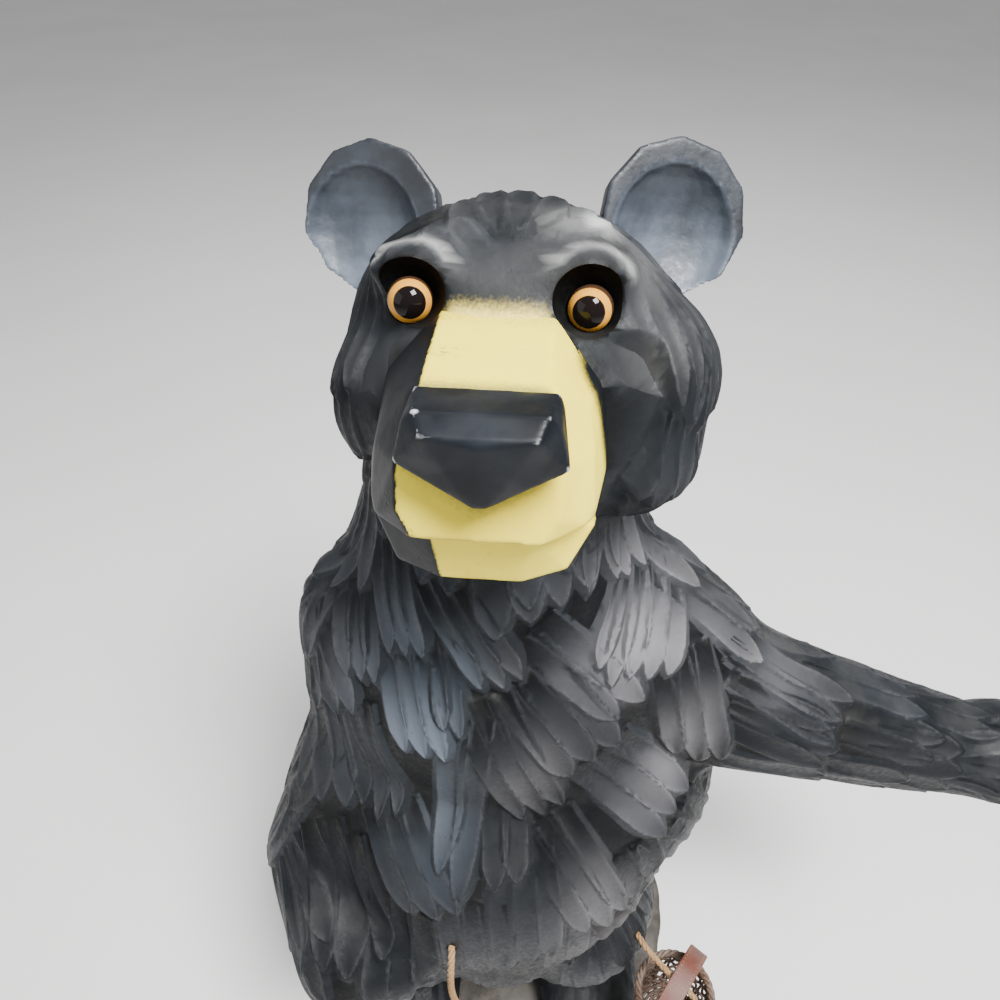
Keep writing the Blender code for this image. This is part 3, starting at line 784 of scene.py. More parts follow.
@dataclass
class Bear:
    """The bear: one casting with its fur, muzzle, ears and sockets.

    Attributes:
        fur: Its coat.
        finishes: Its materials, in the order of their slots.
        voxel: Voxel of the plain skin in steps.
        smoothing: Passes that blend its lumps.
        levels: Subdivisions of the skin before the fur is cut.
        faces: Triangles that the carved skin keeps.
        behind_faces: How many of them are behind, before the last thinning.
        eye_offset: Distance of each eye from the head's middle, in steps.
        eye_diameter: Diameter of an eye.
        hole_depth: Length of the cutter of a twine hole.
        ears: Centre of each ear in the head's steps, and its turn outward.
        ear_radii: Radii of an ear in front and behind, in steps.
        ear_depth: Thickness of an ear in steps.
        ear_wear: How far its edges are worn, in steps.
        ear_sides: Facets round an ear.
        bowls: Middle of each ear's bowl from the ear's centre, in the head's steps.
        bowl_radii: Radii of the bowls.
        brush_and_light_spots: Where the body is dry-brushed, with painted light on its lit left
            side.
        head_spots: Where the head is.
        worn_spots: Where the paint is worn off the head.
        sheen_spots: Where the coat takes a painted blue-grey sheen.
    """

    fur: Fur
    finishes: dict[Dress, bpy.types.Material]
    voxel: float = 6.0
    smoothing: int = 7
    levels: int = 2
    faces: int = 141000
    behind_faces: int = 34000
    eye_offset: float = 29.0
    eye_diameter: float = 0.015
    hole_depth: float = 0.018
    ears: tuple[tuple[tuple[float, float, float], float], ...] = (
        ((-50.0, 50.0, 26.0), math.radians(-14)), ((58.0, 50.0, 30.5), math.radians(14)))
    ear_radii: tuple[float, float] = (25.0, 28.5)
    ear_depth: float = 15.0
    ear_wear: float = 1.2
    ear_sides: int = 11
    bowls: tuple[tuple[float, float, float], ...] = ((-3.5, -9.5, -5.5), (0.0, -9.5, -5.5))
    bowl_radii: tuple[float, float, float] = (23.5, 12.0, 25.0)
    brush_and_light_spots: tuple[Spot, ...] = (
        Spot((66, -60, 425), (26, 60, 32), 1.20), Spot((90, -50, 368), (13, 60, 42), 1.00),
        Spot((10, -90, 366), (18, 60, 38), 0.38), Spot((-70, -60, 408), (14, 60, 40), 0.30),
        Spot((50, -100, 275), (18, 60, 40), 0.65), Spot((66, -90, 212), (18, 60, 34), 0.45),
        Spot((78, -80, 325), (18, 60, 18), 0.40), Spot((125, -40, 380), (26, 60, 14), 0.50),
        Spot((24, -100, 412), (16, 60, 14), 0.35))
    head_spots: tuple[Spot, ...] = (
        Spot((0, -6, 9), (18, 12, 8), 0.15), Spot((53, 6, -4), (12, 26, 32), 0.12),
        Spot((34, 14, 24), (10, 18, 10), 0.25))
    worn_spots: tuple[Spot, ...] = (
        Spot((20, 12, 26), (10, 13, 5), 1.0), Spot((31, 20, 28), (7, 9, 7), 0.9),
        Spot((46, 12, 12), (8, 12, 16), 0.25))
    sheen_spots: tuple[Spot, ...] = (
        Spot((-42, -70, 405), (26, 60, 50), 1.9), Spot((-70, -60, 380), (24, 60, 50), 0.6),
        Spot((-34, -90, 330), (20, 60, 44), 0.5))

    def torso(self, shape: bmesh.types.BMesh) -> None:
        """Add belly, chest, hips, back and tail to the lumps.

        Args:
            shape: The bmesh to add to.
        """
        for centre, radii in (((-2, -15, 232), (111, 98, 114)), ((30, -10, 268), (97, 80, 84)),
                              ((0, -30, 168), (66, 76, 62)), ((2, 4, 350), (96, 82, 92)),
                              ((-2, 12, 150), (95, 84, 76)), ((0, 40, 392), (80, 56, 64)),
                              ((0, 38, 172), (82, 62, 82)), ((0, 101, 160), (19, 17, 24))):
            add_ellipsoid(shape, FIGURE.on(*centre), radii)

    def limbs(self, shape: bmesh.types.BMesh) -> None:
        """Add the folded arm, the outstretched arm and the legs to the lumps.

        Args:
            shape: The bmesh to add to.
        """
        on = FIGURE.on
        add_limb(shape, [(on(-60, 0, 388), 41), (on(-66, -12, 318), 38), (on(-104, -44, 220), 37),
                         (on(-84, -94, 200), 34), (on(-60, -101, 209), 25)])
        add_limb(shape, [(on(60, 0, 388), 47), (on(118, -18, 342), 41), (on(162, -20, 327), 36),
                         (on(205, -20, 310), 32), (on(244, -24, 301), 28)])
        add_ellipsoid(shape, on(272, -28, 301), (33, 31, 27))
        for finger in range(4):
            spread = finger - 1.5
            add_ellipsoid(shape, on(297 - 3 * abs(spread), -28 + 14 * spread, 297), (14, 9, 12))
        for side in Side:
            x = side.value
            add_ellipsoid(shape, on(x * 50, -38, 135), (56, 58, 64))
            add_limb(shape, [(on(x * 54, -10, 118), 53), (on(x * 62, -20, 74), 48),
                             (on(x * 64, -8, 32), 41)])
            add_ellipsoid(shape, on(x * 67, -48, 20), (41, 66, 27))

    def head(self, shape: bmesh.types.BMesh) -> None:
        """Add skull, cheeks, jaw, brows and neck to the lumps.

        Args:
            shape: The bmesh to add to.
        """
        turn = FIGURE.head_turn.to_matrix().to_4x4()
        for centre, radii in (((3, 42, -8), (62, 54, 47)), ((-32, 26, -34), (31, 38, 34)),
                              ((44, 30, -25), (37, 41, 38)), ((43, 28, -50), (35, 36, 29)),
                              ((2, -3, -33), (43, 33, 29)), ((3, 12, -52), (38, 42, 26)),
                              ((-27, 4, 11), (22, 15, 9)), ((27, 4, 14), (22, 15, 9))):
            add_ellipsoid(shape, FIGURE.on_head(*centre), radii, turn)
        add_limb(shape, [(FIGURE.on_head(4, 56, -28), 54), (FIGURE.on(0, 20, 455), 64),
                         (FIGURE.on(0, 18, 415), 74)])

    def skin(self) -> bpy.types.Object:
        """Make the carved skin, without the crisp blocks of the face.

        Returns:
            The skin as one closed mesh.
        """
        shape = bmesh.new()
        self.torso(shape)
        self.limbs(shape)
        self.head(shape)
        lumps = new_object("bear_carved", shape)
        even_skin(lumps, self.voxel, self.smoothing)
        flutes = self.fur.place_flutes(settled(lumps))
        finer = lumps.modifiers.new("finer skin", "SUBSURF")
        finer.levels = finer.render_levels = self.levels
        settle(lumps)
        self.refine_front(lumps.data)
        self.fur.carve(lumps.data, flutes)
        behind = np.flatnonzero(~self.in_front(lumps.data))
        far = lumps.vertex_groups.new(name="far side")
        far.add(behind.tolist(), 1.0, "REPLACE")
        thin = lumps.modifiers.new("fewer faces behind", "DECIMATE")
        thin.vertex_group = far.name
        thin.ratio = (1.0 - len(behind) / len(lumps.data.vertices)
                      + self.behind_faces / triangles(lumps.data))
        settle(lumps)
        lumps.vertex_groups.clear()
        thin = lumps.modifiers.new("fewer faces", "DECIMATE")
        thin.ratio = self.faces / triangles(lumps.data)
        LOG.info("skin: %d flutes, %d faces before thinning", len(flutes), len(lumps.data.polygons))
        return settle(lumps)

    @staticmethod
    def in_front(mesh: bpy.types.Mesh) -> np.ndarray:
        """Which vertices lie on the front of the body or of the head."""
        places, normals = mesh_arrays(mesh)
        return (normals[:, 1] < 0.25) & (places[:, 2] > FIGURE.on(0.0, 0.0, 120.0).z)

    def refine_front(self, mesh: bpy.types.Mesh) -> None:
        """Halve the faces of the front, which is seen closest.

        Args:
            mesh: The skin, which is changed.
        """
        fine = self.in_front(mesh)
        shape = bmesh.new()
        shape.from_mesh(mesh)
        shape.verts.ensure_lookup_table()
        edges = [edge for edge in shape.edges
                 if fine[edge.verts[0].index] and fine[edge.verts[1].index]]
        bmesh.ops.subdivide_edges(shape, edges=edges, cuts=1, use_grid_fill=True, smooth=0.0)
        shape.to_mesh(mesh)
        shape.free()

    def hull(self, name: str, points: Iterable[tuple[float, float, float]], dress: Dress,
             round_off: float, voxel: float) -> bpy.types.Object:
        """Chiselled block from a few corners, mirrored left to right, with worn edges.

        Args:
            name: Name of the helper object.
            points: Corners in the head's steps.
            dress: Finish of its faces.
            round_off: How far its edges are worn, in steps.
            voxel: Size of its faces in steps.

        Returns:
            The block, densely meshed.
        """
        shape = bmesh.new()
        for x, y, z in points:
            shape.verts.new(FIGURE.on_head(x, y, z))
            if x:
                shape.verts.new(FIGURE.on_head(-x, y, z))
        bmesh.ops.convex_hull(shape, input=shape.verts)
        bmesh.ops.dissolve_limit(shape, angle_limit=0.01, verts=shape.verts, edges=shape.edges)
        round_edges(shape, shape.edges, round_off * FIGURE.step)
        block = new_object(name, shape)
        self.even_faces(block, voxel, 1, 0.45)
        self.dress_faces(block, dress)
        return block

    @staticmethod
    def even_faces(block: bpy.types.Object, voxel: float, passes: int, share: float) -> None:
        """Give a block small even faces that can hold its paint.

        Args:
            block: The block.
            voxel: Size of its faces in steps.
            passes: Passes of smoothing.
            share: Share of the faces that it keeps.
        """
        even_skin(block, voxel, passes)
        block.modifiers.new("fewer faces", "DECIMATE").ratio = share
        settle(block)

    def dress_faces(self, block: bpy.types.Object, dress: Dress) -> None:
        """Give all faces of a block one of the bear's finishes.

        Args:
            block: The block.
            dress: Its finish.
        """
        block.data.materials.clear()
        for finish in self.finishes.values():
            block.data.materials.append(finish)
        block.data.polygons.foreach_set(
            "material_index", np.full(len(block.data.polygons), dress.value, dtype=np.int32))

    def face_blocks(self) -> list[bpy.types.Object]:
        """Muzzle, chin and nose."""
        muzzle = self.hull("muzzle", [
            (18, -8, -2), (15.7, -66, -17.7), (24, -20, -12), (19, -62, -19.5), (28.7, -40, -24),
            (30.2, -50, -36), (31.3, -50, -50.5), (29, -56, -54.5), (17, -66.5, -57.5),
            (21, -70, -37), (21.2, -67.5, -49.5), (32, -44, -56), (35.5, -30, -45), (36, 0, -20),
            (38, 0, -50), (20, 10, -2)], Dress.MUZZLE, 0.5, 1.0)
        chin = self.hull("chin", [
            (14.5, -58, -57), (12, -46, -76.5), (25.5, -41, -73.5), (33.5, -36, -60), (36, 0, -58),
            (26, 0, -84)], Dress.MUZZLE, 0.5, 1.0)
        nose = self.hull("nose", [
            (16.8, -67, -17.2), (14.5, -85, -20), (17.3, -82.5, -22.8), (19.8, -80, -33.5),
            (12.5, -89, -25), (0, -89.5, -27.2), (1.5, -80, -44), (19.5, -70, -31), (0, -64, -44),
            (18, -66, -20)], Dress.NOSE, 0.35, 0.75)
        offside = Matrix.Translation((1.3, 0.0, 0.0)) @ Matrix.Diagonal((1.065, 1.0, 1.0, 1.0))
        nose.data.transform(FIGURE.head @ offside @ FIGURE.head.inverted())
        return [muzzle, chin, nose]

    def ear_place(self, number: int) -> Matrix:
        """From an ear's own frame, in the head's steps, to the world."""
        centre, outward = self.ears[number]
        return FIGURE.head @ Matrix.Translation(centre) @ Matrix.Rotation(outward, 4, "Z")

    def bowl_place(self, number: int) -> Matrix:
        """From the middle of an ear's bowl, in the head's steps, to the world."""
        return self.ear_place(number) @ Matrix.Translation(self.bowls[number])

    def ear(self, number: int) -> bpy.types.Object:
        """One faceted ear with its bowl cut out.

        Args:
            number: 0 for the bear's right ear, 1 for its left.

        Returns:
            The ear.
        """
        upright = Matrix.Rotation(math.radians(90), 4, "X")
        shape = bmesh.new()
        bmesh.ops.create_cone(shape, cap_ends=True, segments=self.ear_sides,
                              radius1=self.ear_radii[0], radius2=self.ear_radii[1],
                              depth=self.ear_depth, matrix=self.ear_place(number) @ upright)
        round_edges(shape, shape.edges, self.ear_wear * FIGURE.step)
        ear = new_object(f"ear_{number}", shape)
        shape = bmesh.new()
        stretch = Matrix.Diagonal((*self.bowl_radii, 1.0))
        bmesh.ops.create_uvsphere(shape, u_segments=18, v_segments=10, radius=1.0,
                                  matrix=self.bowl_place(number) @ stretch)
        bowl = new_object(f"ear_bowl_{number}", shape)
        self.join(ear, bowl, "DIFFERENCE")
        self.even_faces(ear, 1.0, 3, 0.40)
        discard(bowl)
        self.dress_faces(ear, Dress.EAR)
        return ear

    @staticmethod
    def join(thing: bpy.types.Object, other: bpy.types.Object, operation: str) -> None:
        """Add a Boolean to a piece.

        Args:
            thing: The piece.
            other: What joins or cuts it.
            operation: Name of the operation.
        """
        step = thing.modifiers.new(f"{operation.lower()} {other.name}", "BOOLEAN")
        step.object = other
        step.operation = operation
        step.solver = "MANIFOLD"

    def ball(self, name: str, centre: Vector, radii: Sequence[float],
             turn: Matrix = Matrix.Identity(4)) -> bpy.types.Object:
        """Round cutter.

        Args:
            name: Name of the helper object.
            centre: Its centre in the world.
            radii: Its three radii in steps.
            turn: Its turn.

        Returns:
            The cutter.
        """
        shape = bmesh.new()
        add_ellipsoid(shape, centre, radii, turn, (48, 24))
        return new_object(name, shape)

    def eye_centre(self, side: Side) -> Vector:
        """Centre of one eye in the world."""
        return FIGURE.on_head(side.value * self.eye_offset, -1.0, 0.0)

    def cutters(self, holes: Iterable[tuple[Vector, Vector, float]]) -> list[bpy.types.Object]:
        """What is cut from the bear: eye sockets and seats, twine holes, and all below the soles.

        Args:
            holes: Inner end, outward point and radius of each twine hole.

        Returns:
            The cutters, dressed as fur.
        """
        turn = FIGURE.head_turn.to_matrix().to_4x4()
        seat_radius = (self.eye_diameter / 2 + FIGURE.seat_gap) / FIGURE.step
        made = []
        for side in Side:
            socket = FIGURE.on_head(side.value * self.eye_offset, -10.0, 2.5)
            made.append(self.ball(f"socket_{side.name}", socket, (12.5, 11.5, 11.5), turn))
            made.append(self.ball(f"seat_{side.name}", self.eye_centre(side), (seat_radius,) * 3))
        for number, (inner, outer, radius) in enumerate(holes):
            run = (outer - inner).normalized()
            middle = inner + run * (self.hole_depth / 2 - FIGURE.seat_gap)
            shape = bmesh.new()
            bmesh.ops.create_cone(shape, cap_ends=True, segments=20, depth=self.hole_depth,
                                  radius1=radius, radius2=radius,
                                  matrix=Matrix.Translation(middle) @ aimed(run))
            made.append(new_object(f"twine_hole_{number}", shape))
        shape = bmesh.new()
        bmesh.ops.create_cube(shape, size=1.0,
                              matrix=Matrix.Translation((0, 0, FIGURE.sole_level - 0.5)))
        made.append(new_object("below_soles", shape))
        for cutter in made:
            self.dress_faces(cutter, Dress.FUR)
        return made

    def build(self, holes: Iterable[tuple[Vector, Vector, float]]) -> bpy.types.Object:
        """Make the whole bear as one mesh.

        Args:
            holes: Inner end, outward point and radius of each twine hole.

        Returns:
            The bear.
        """
        bear = self.skin()
        self.dress_faces(bear, Dress.FUR)
        blocks = [*self.face_blocks(), self.ear(0), self.ear(1)]
        cutters = self.cutters(holes)
        for block in blocks:
            self.join(bear, block, "UNION")
        for cutter in cutters:
            self.join(bear, cutter, "DIFFERENCE")
        settle(bear)
        discard(*blocks, *cutters)
        self.paint(bear.data)
        bear.data.shade_smooth()
        bear.data.set_sharp_from_angle(angle=math.radians(38))
        return bear

    def bowl_share(self, places: np.ndarray) -> np.ndarray:
        """How deep each place lies in the bowl of an ear.

        Args:
            places: World places.

        Returns:
            0 outside the bowls, and a share that grows towards the bottom of a bowl.
        """
        share = np.zeros(len(places))
        for number in range(len(self.ears)):
            inner = moved(places, self.bowl_place(number).inverted())
            away = np.linalg.norm(inner / np.array(self.bowl_radii), axis=1)
            # Less of the light colour up in the bowl: painted shade under the rim.
            depth = ramp(-inner[:, 2], -16.0, 14.0) * 0.7 + 0.3
            share = np.maximum(share, (1.0 - ramp(away, 1.01, 1.05)) * depth)
        return share

    def paint(self, mesh: bpy.types.Mesh) -> None:
        """Store where ridges, grooves, sprayed cream, dry brush, wear and painted shade and
        highlights lie.

        Args:
            mesh: The bear's mesh, which gets the attributes.
        """
        places, normals = mesh_arrays(mesh)
        step = FIGURE.step
        for name, passes, low, high, sign in (("ridge", 3, 0.03, 0.30, 1.0),
                                              ("groove", 20, 0.1, 1.4, -1.0)):
            relief = ((places - averaged(mesh, places, passes)) * normals).sum(axis=1)
            put_attribute(mesh, name, ramp(sign * relief, low * step, high * step))
        inner = FIGURE.head_places(places)
        facing = normals @ np.array(FIGURE.head_turn.to_matrix())
        x, y, z = inner.T
        left_flank = ramp(-facing[:, 0], 0.28, 0.50) * ramp(-x, 8.0, 14.0)
        chin_edge = 14.0 - 0.13 * (-57.0 - z)
        left_flank = np.maximum(left_flank,
                                ramp(-x - chin_edge, -0.7, 0.7) * ramp(-z, 57.5, 59.0))
        right_fade = (1.0 - ramp(-y, 18.0, 44.0)) * ramp(x, 20.0, 31.0)
        brow_fade = 0.4 * ramp(z, -9.0, -2.0)
        put_attribute(mesh, "charcoal", np.clip(left_flank + right_fade + brow_fade, 0.0, 1.0))
        cheek = np.where(x > 0, ramp(-y, 16.0, 34.0) * (1.0 - ramp(x, 36.0, 43.0)), 0.0)
        brow = (1.0 - ramp(z, -9.0, 7.0)) * (1.0 - ramp(np.abs(x), 13.0, 20.0))
        brow *= ramp(-y, -2.0, 4.0)
        put_attribute(mesh, "cream", np.clip(cheek + brow, 0.0, 1.0) * ramp(z, -90.0, -80.0))
        # Grey under the nose's overhang is painted shade and above it airbrush; the line over the
        # chin is painted shade.
        under = -44.0 + 13.0 * np.abs(x) / 19.5 - z
        nose_shade = (np.exp(-(under / 6.5) ** 2) * ramp(-y, 52.0, 60.0)
                      * (1.0 - ramp(np.abs(x), 18.0, 23.0))
                      + np.exp(-(((y + 68.0) / 7.0) ** 2)) * ramp(z, -24.0, -20.0))
        lip_shade = np.exp(-(((z + 58.3) / 1.5) ** 2)) * ramp(-y, 30.0, 40.0)
        put_attribute(mesh, "shade", np.clip(nose_shade + lip_shade, 0.0, 1.0))
        stain = np.exp(-(((x + 12.0) ** 2 + (y + 42.0) ** 2) / 14.0)) * ramp(facing[:, 2], 0.4, 0.7)
        put_attribute(mesh, "stain", stain)
        # Painted shade in the eye hollows under the brows, stored as socket.
        eyes = [np.sqrt((x - side.value * self.eye_offset * 0.98) ** 2 + (0.5 * (y + 4.0)) ** 2
                        + (0.92 * (z - 3.5)) ** 2) for side in Side]
        put_attribute(mesh, "socket", (1.0 - ramp(np.minimum(*eyes), 8.5, 13.5))
                      * (0.35 + 0.65 * ramp(z, -2.0, 5.0)))
        body = np.stack([places[:, 0], places[:, 1],
                         places[:, 2] - FIGURE.sole_level], axis=1) / step
        front = 1.0 - ramp(body[:, 1], -30.0, 20.0)
        # Dry brush, with painted light on the bear's left side, which faces the light.
        brush = sum(spot.share(body) for spot in self.brush_and_light_spots) * front
        brush += sum(spot.share(inner) for spot in self.head_spots)
        put_attribute(mesh, "brush", np.clip(0.04 + brush, 0.0, 1.3))
        put_attribute(mesh, "bowl", self.bowl_share(places))
        # Painted highlight on the lit edge of each brow, stored with the wear.
        brow_highlight = np.exp(-(((np.minimum(*eyes) - 14.8) / 1.2) ** 2)) * ramp(z, 8.0, 13.0)
        worn = sum(spot.share(inner) for spot in self.worn_spots) + 0.6 * brow_highlight
        put_attribute(mesh, "worn", np.clip(worn, 0.0, 1.0))
        # Painted blue-grey sheen, strongest on the bear's right shoulder.
        put_attribute(mesh, "blue", np.clip(sum(spot.share(body) for spot in self.sheen_spots),
                                            0.0, 1.0))


class NodeKit:
    """Short calls that add and join shader nodes in one tree."""

    def __init__(self, tree: Tree) -> None:
        """Keep the tree to work in."""
        self.tree = tree

    def add(self, kind: str, **settings: object) -> Node:
        """Add a node.

        Args:
            kind: Its type's name without the Blender prefix.
            settings: Properties to set on it.

        Returns:
            The node.
        """
        node = self.tree.nodes.new(f"ShaderNode{kind}")
        for name, value in settings.items():
            setattr(node, name, value)
        return node

    def feed(self, value: object, socket: bpy.types.NodeSocket) -> None:
        """Link a socket, or set a plain value.

        Args:
            value: An output socket, or a number or tuple.
            socket: The input to feed.
        """
        if isinstance(value, bpy.types.NodeSocket):
            self.tree.links.new(value, socket)
        else:
            socket.default_value = value

    def math(self, operation: str, first: object, second: object = 0.0,
             clamp: bool = False) -> bpy.types.NodeSocket:
        """Add a Math node.

        Args:
            operation: Its operation.
            first: First value or socket.
            second: Second value or socket.
            clamp: Whether the result is kept in 0 to 1.

        Returns:
            The node's output.
        """
        node = self.add("Math", operation=operation, use_clamp=clamp)
        self.feed(first, node.inputs[0])
        self.feed(second, node.inputs[1])
        return node.outputs[0]

    def mix(self, factor: object, first: object, second: object) -> bpy.types.NodeSocket:
        """Add a colour Mix node.

        Args:
            factor: Share of the second colour.
            first: First colour or socket.
            second: Second colour or socket.

        Returns:
            The mixed colour.
        """
        node = self.add("Mix", data_type="RGBA")
        self.feed(factor, node.inputs[0])
        self.feed(first, node.inputs[6])
        self.feed(second, node.inputs[7])
        return node.outputs[2]

    def span(self, value: object, low: float, high: float, to_low: float = 0.0,
             to_high: float = 1.0) -> bpy.types.NodeSocket:
        """Add a Map Range node that clamps.

        Args:
            value: What is mapped.
            low: Input that gives to_low.
            high: Input that gives to_high.
            to_low: Lowest result.
            to_high: Highest result.

        Returns:
            The mapped value.
        """
        node = self.add("MapRange", interpolation_type="SMOOTHSTEP")
        self.feed(value, node.inputs[0])
        for number, setting in enumerate((low, high, to_low, to_high), start=1):
            node.inputs[number].default_value = setting
        return node.outputs[0]

    def noise(self, vector: object, scale: object, detail: float = 4.0,
              roughness: float = 0.55) -> bpy.types.NodeSocket:
        """Add a Noise Texture.

        Args:
            vector: Where it is read.
            scale: Waves to a metre, as a number or socket.
            detail: Octaves.
            roughness: How strong the fine octaves are.

        Returns:
            Its value.
        """
        node = self.add("TexNoise")
        self.feed(vector, node.inputs["Vector"])
        self.feed(scale, node.inputs["Scale"])
        node.inputs["Detail"].default_value = detail
        node.inputs["Roughness"].default_value = roughness
        return node.outputs[0]

    def attribute(self, name: str) -> bpy.types.NodeSocket:
        """Read a stored number."""
        return self.add("Attribute", attribute_name=name).outputs["Fac"]

    def place(self) -> bpy.types.NodeSocket:
        """Read Object coordinates."""
        return self.add("TexCoord").outputs["Object"]

    def bump(self, height: object, strength: float, distance: float) -> bpy.types.NodeSocket:
        """Add a Bump node.

        Args:
            height: Height to read.
            strength: Its strength.
            distance: Its distance in metres.

        Returns:
            The normal.
        """
        node = self.add("Bump")
        node.inputs["Strength"].default_value = strength
        node.inputs["Distance"].default_value = distance
        self.feed(height, node.inputs["Height"])
        return node.outputs[0]

    def group(self, shared: Tree, **values: object) -> Node:
        """Place a shared group.

        Args:
            shared: The group's tree.
            values: Value or socket for each named input, with spaces as underscores.

        Returns:
            The group node.
        """
        node = self.add("Group")
        node.node_tree = shared
        for name, value in values.items():
            self.feed(value, node.inputs[name.replace("_", " ")])
        return node


def new_group(name: str, inputs: dict[str, tuple[str, object]],
              outputs: dict[str, str]) -> tuple[Tree, NodeKit, Node, Node]:
    """Start a shader node group.

    Args:
        name: Name of the group.
        inputs: Kind and default of each input by its name.
        outputs: Kind of each output by its name.

    Returns:
        The tree, its node kit, and its input and output nodes.
    """
    tree = bpy.data.node_groups.new(name, "ShaderNodeTree")
    for label, (kind, default) in inputs.items():
        socket = tree.interface.new_socket(label, in_out="INPUT", socket_type=f"NodeSocket{kind}")
        if default is not None:
            socket.default_value = default
    for label, kind in outputs.items():
        tree.interface.new_socket(label, in_out="OUTPUT", socket_type=f"NodeSocket{kind}")
    kit = NodeKit(tree)
    return tree, kit, tree.nodes.new("NodeGroupInput"), tree.nodes.new("NodeGroupOutput")


@dataclass(frozen=True)
class SharedEffects:
    """Node groups that several finishes use.

    Attributes:
        pits: Casting pits and specks.
        chips: White chips through the paint.
        dust: Dust that settles on upward faces and in grooves.
    """

    pits: Tree
    chips: Tree
    dust: Tree

    @classmethod
    def build(cls) -> "SharedEffects":
        """Make the groups once."""
        return cls(cls.make_pits(), cls.make_chips(), cls.make_dust())

    @staticmethod
    def make_pits() -> Tree:
        """Small round pits of a resin casting."""
        tree, kit, inputs, outputs = new_group(
            "casting pits", {"Vector": ("Vector", None), "Scale": ("Float", 260.0),
                             "Share": ("Float", 0.5)},
            {"Mask": "Float"})
        cells = kit.add("TexVoronoi")
        kit.feed(inputs.outputs["Vector"], cells.inputs["Vector"])
        kit.feed(inputs.outputs["Scale"], cells.inputs["Scale"])
        round_pit = kit.span(cells.outputs["Distance"], 0.10, 0.22, 1.0, 0.0)
        split = kit.add("SeparateColor")
        kit.feed(cells.outputs["Color"], split.inputs[0])
        chosen = kit.math("LESS_THAN", split.outputs[0], inputs.outputs["Share"])
        kit.feed(kit.math("MULTIPLY", round_pit, chosen), outputs.inputs["Mask"])
        return tree

    @staticmethod
    def make_chips() -> Tree:
        """Irregular chips where the paint has come off an edge."""
        tree, kit, inputs, outputs = new_group(
            "paint chips", {"Vector": ("Vector", None), "Edge": ("Float", 0.0),
                            "Scale": ("Float", 90.0), "Amount": ("Float", 0.5)},
            {"Mask": "Float"})
        broad = kit.noise(inputs.outputs["Vector"], inputs.outputs["Scale"], 6.0, 0.5)
        level = kit.math("MULTIPLY", broad, inputs.outputs["Edge"])
        edge = kit.math("SUBTRACT", 0.78, kit.math("MULTIPLY", inputs.outputs["Amount"], 0.35))
        sharp = kit.math("MULTIPLY", kit.math("SUBTRACT", level, edge), 22.0, clamp=True)
        kit.feed(sharp, outputs.inputs["Mask"])
        return tree

    @staticmethod
    def make_dust() -> Tree:
        """Thin dust on faces that look up."""
        tree, kit, inputs, outputs = new_group(
            "settled dust", {"Vector": ("Vector", None), "Groove": ("Float", 0.0),
                             "Amount": ("Float", 0.3)},
            {"Mask": "Float"})
        normal = kit.add("NewGeometry")
        split = kit.add("SeparateXYZ")
        kit.feed(normal.outputs["Normal"], split.inputs[0])
        upward = kit.span(split.outputs["Z"], 0.25, 0.95)
        cloud = kit.noise(inputs.outputs["Vector"], 38.0, 5.0, 0.5)
        patch = kit.span(cloud, 0.38, 0.68)
        lain = kit.math("ADD", upward, kit.math("MULTIPLY", inputs.outputs["Groove"], 0.4))
        both = kit.math("MULTIPLY", lain, patch)
        kit.feed(kit.math("MULTIPLY", both, inputs.outputs["Amount"], clamp=True),
                 outputs.inputs["Mask"])
        return tree


def start_material(name: str) -> tuple[bpy.types.Material, NodeKit, Node]:
    """Start a Principled material.

    Args:
        name: Name of the material.

    Returns:
        The material, its node kit and its shader.
    """
    made = bpy.data.materials.new(name)
    made.use_nodes = True
    return made, NodeKit(made.node_tree), made.node_tree.nodes["Principled BSDF"]


Colour = tuple[float, float, float, float]


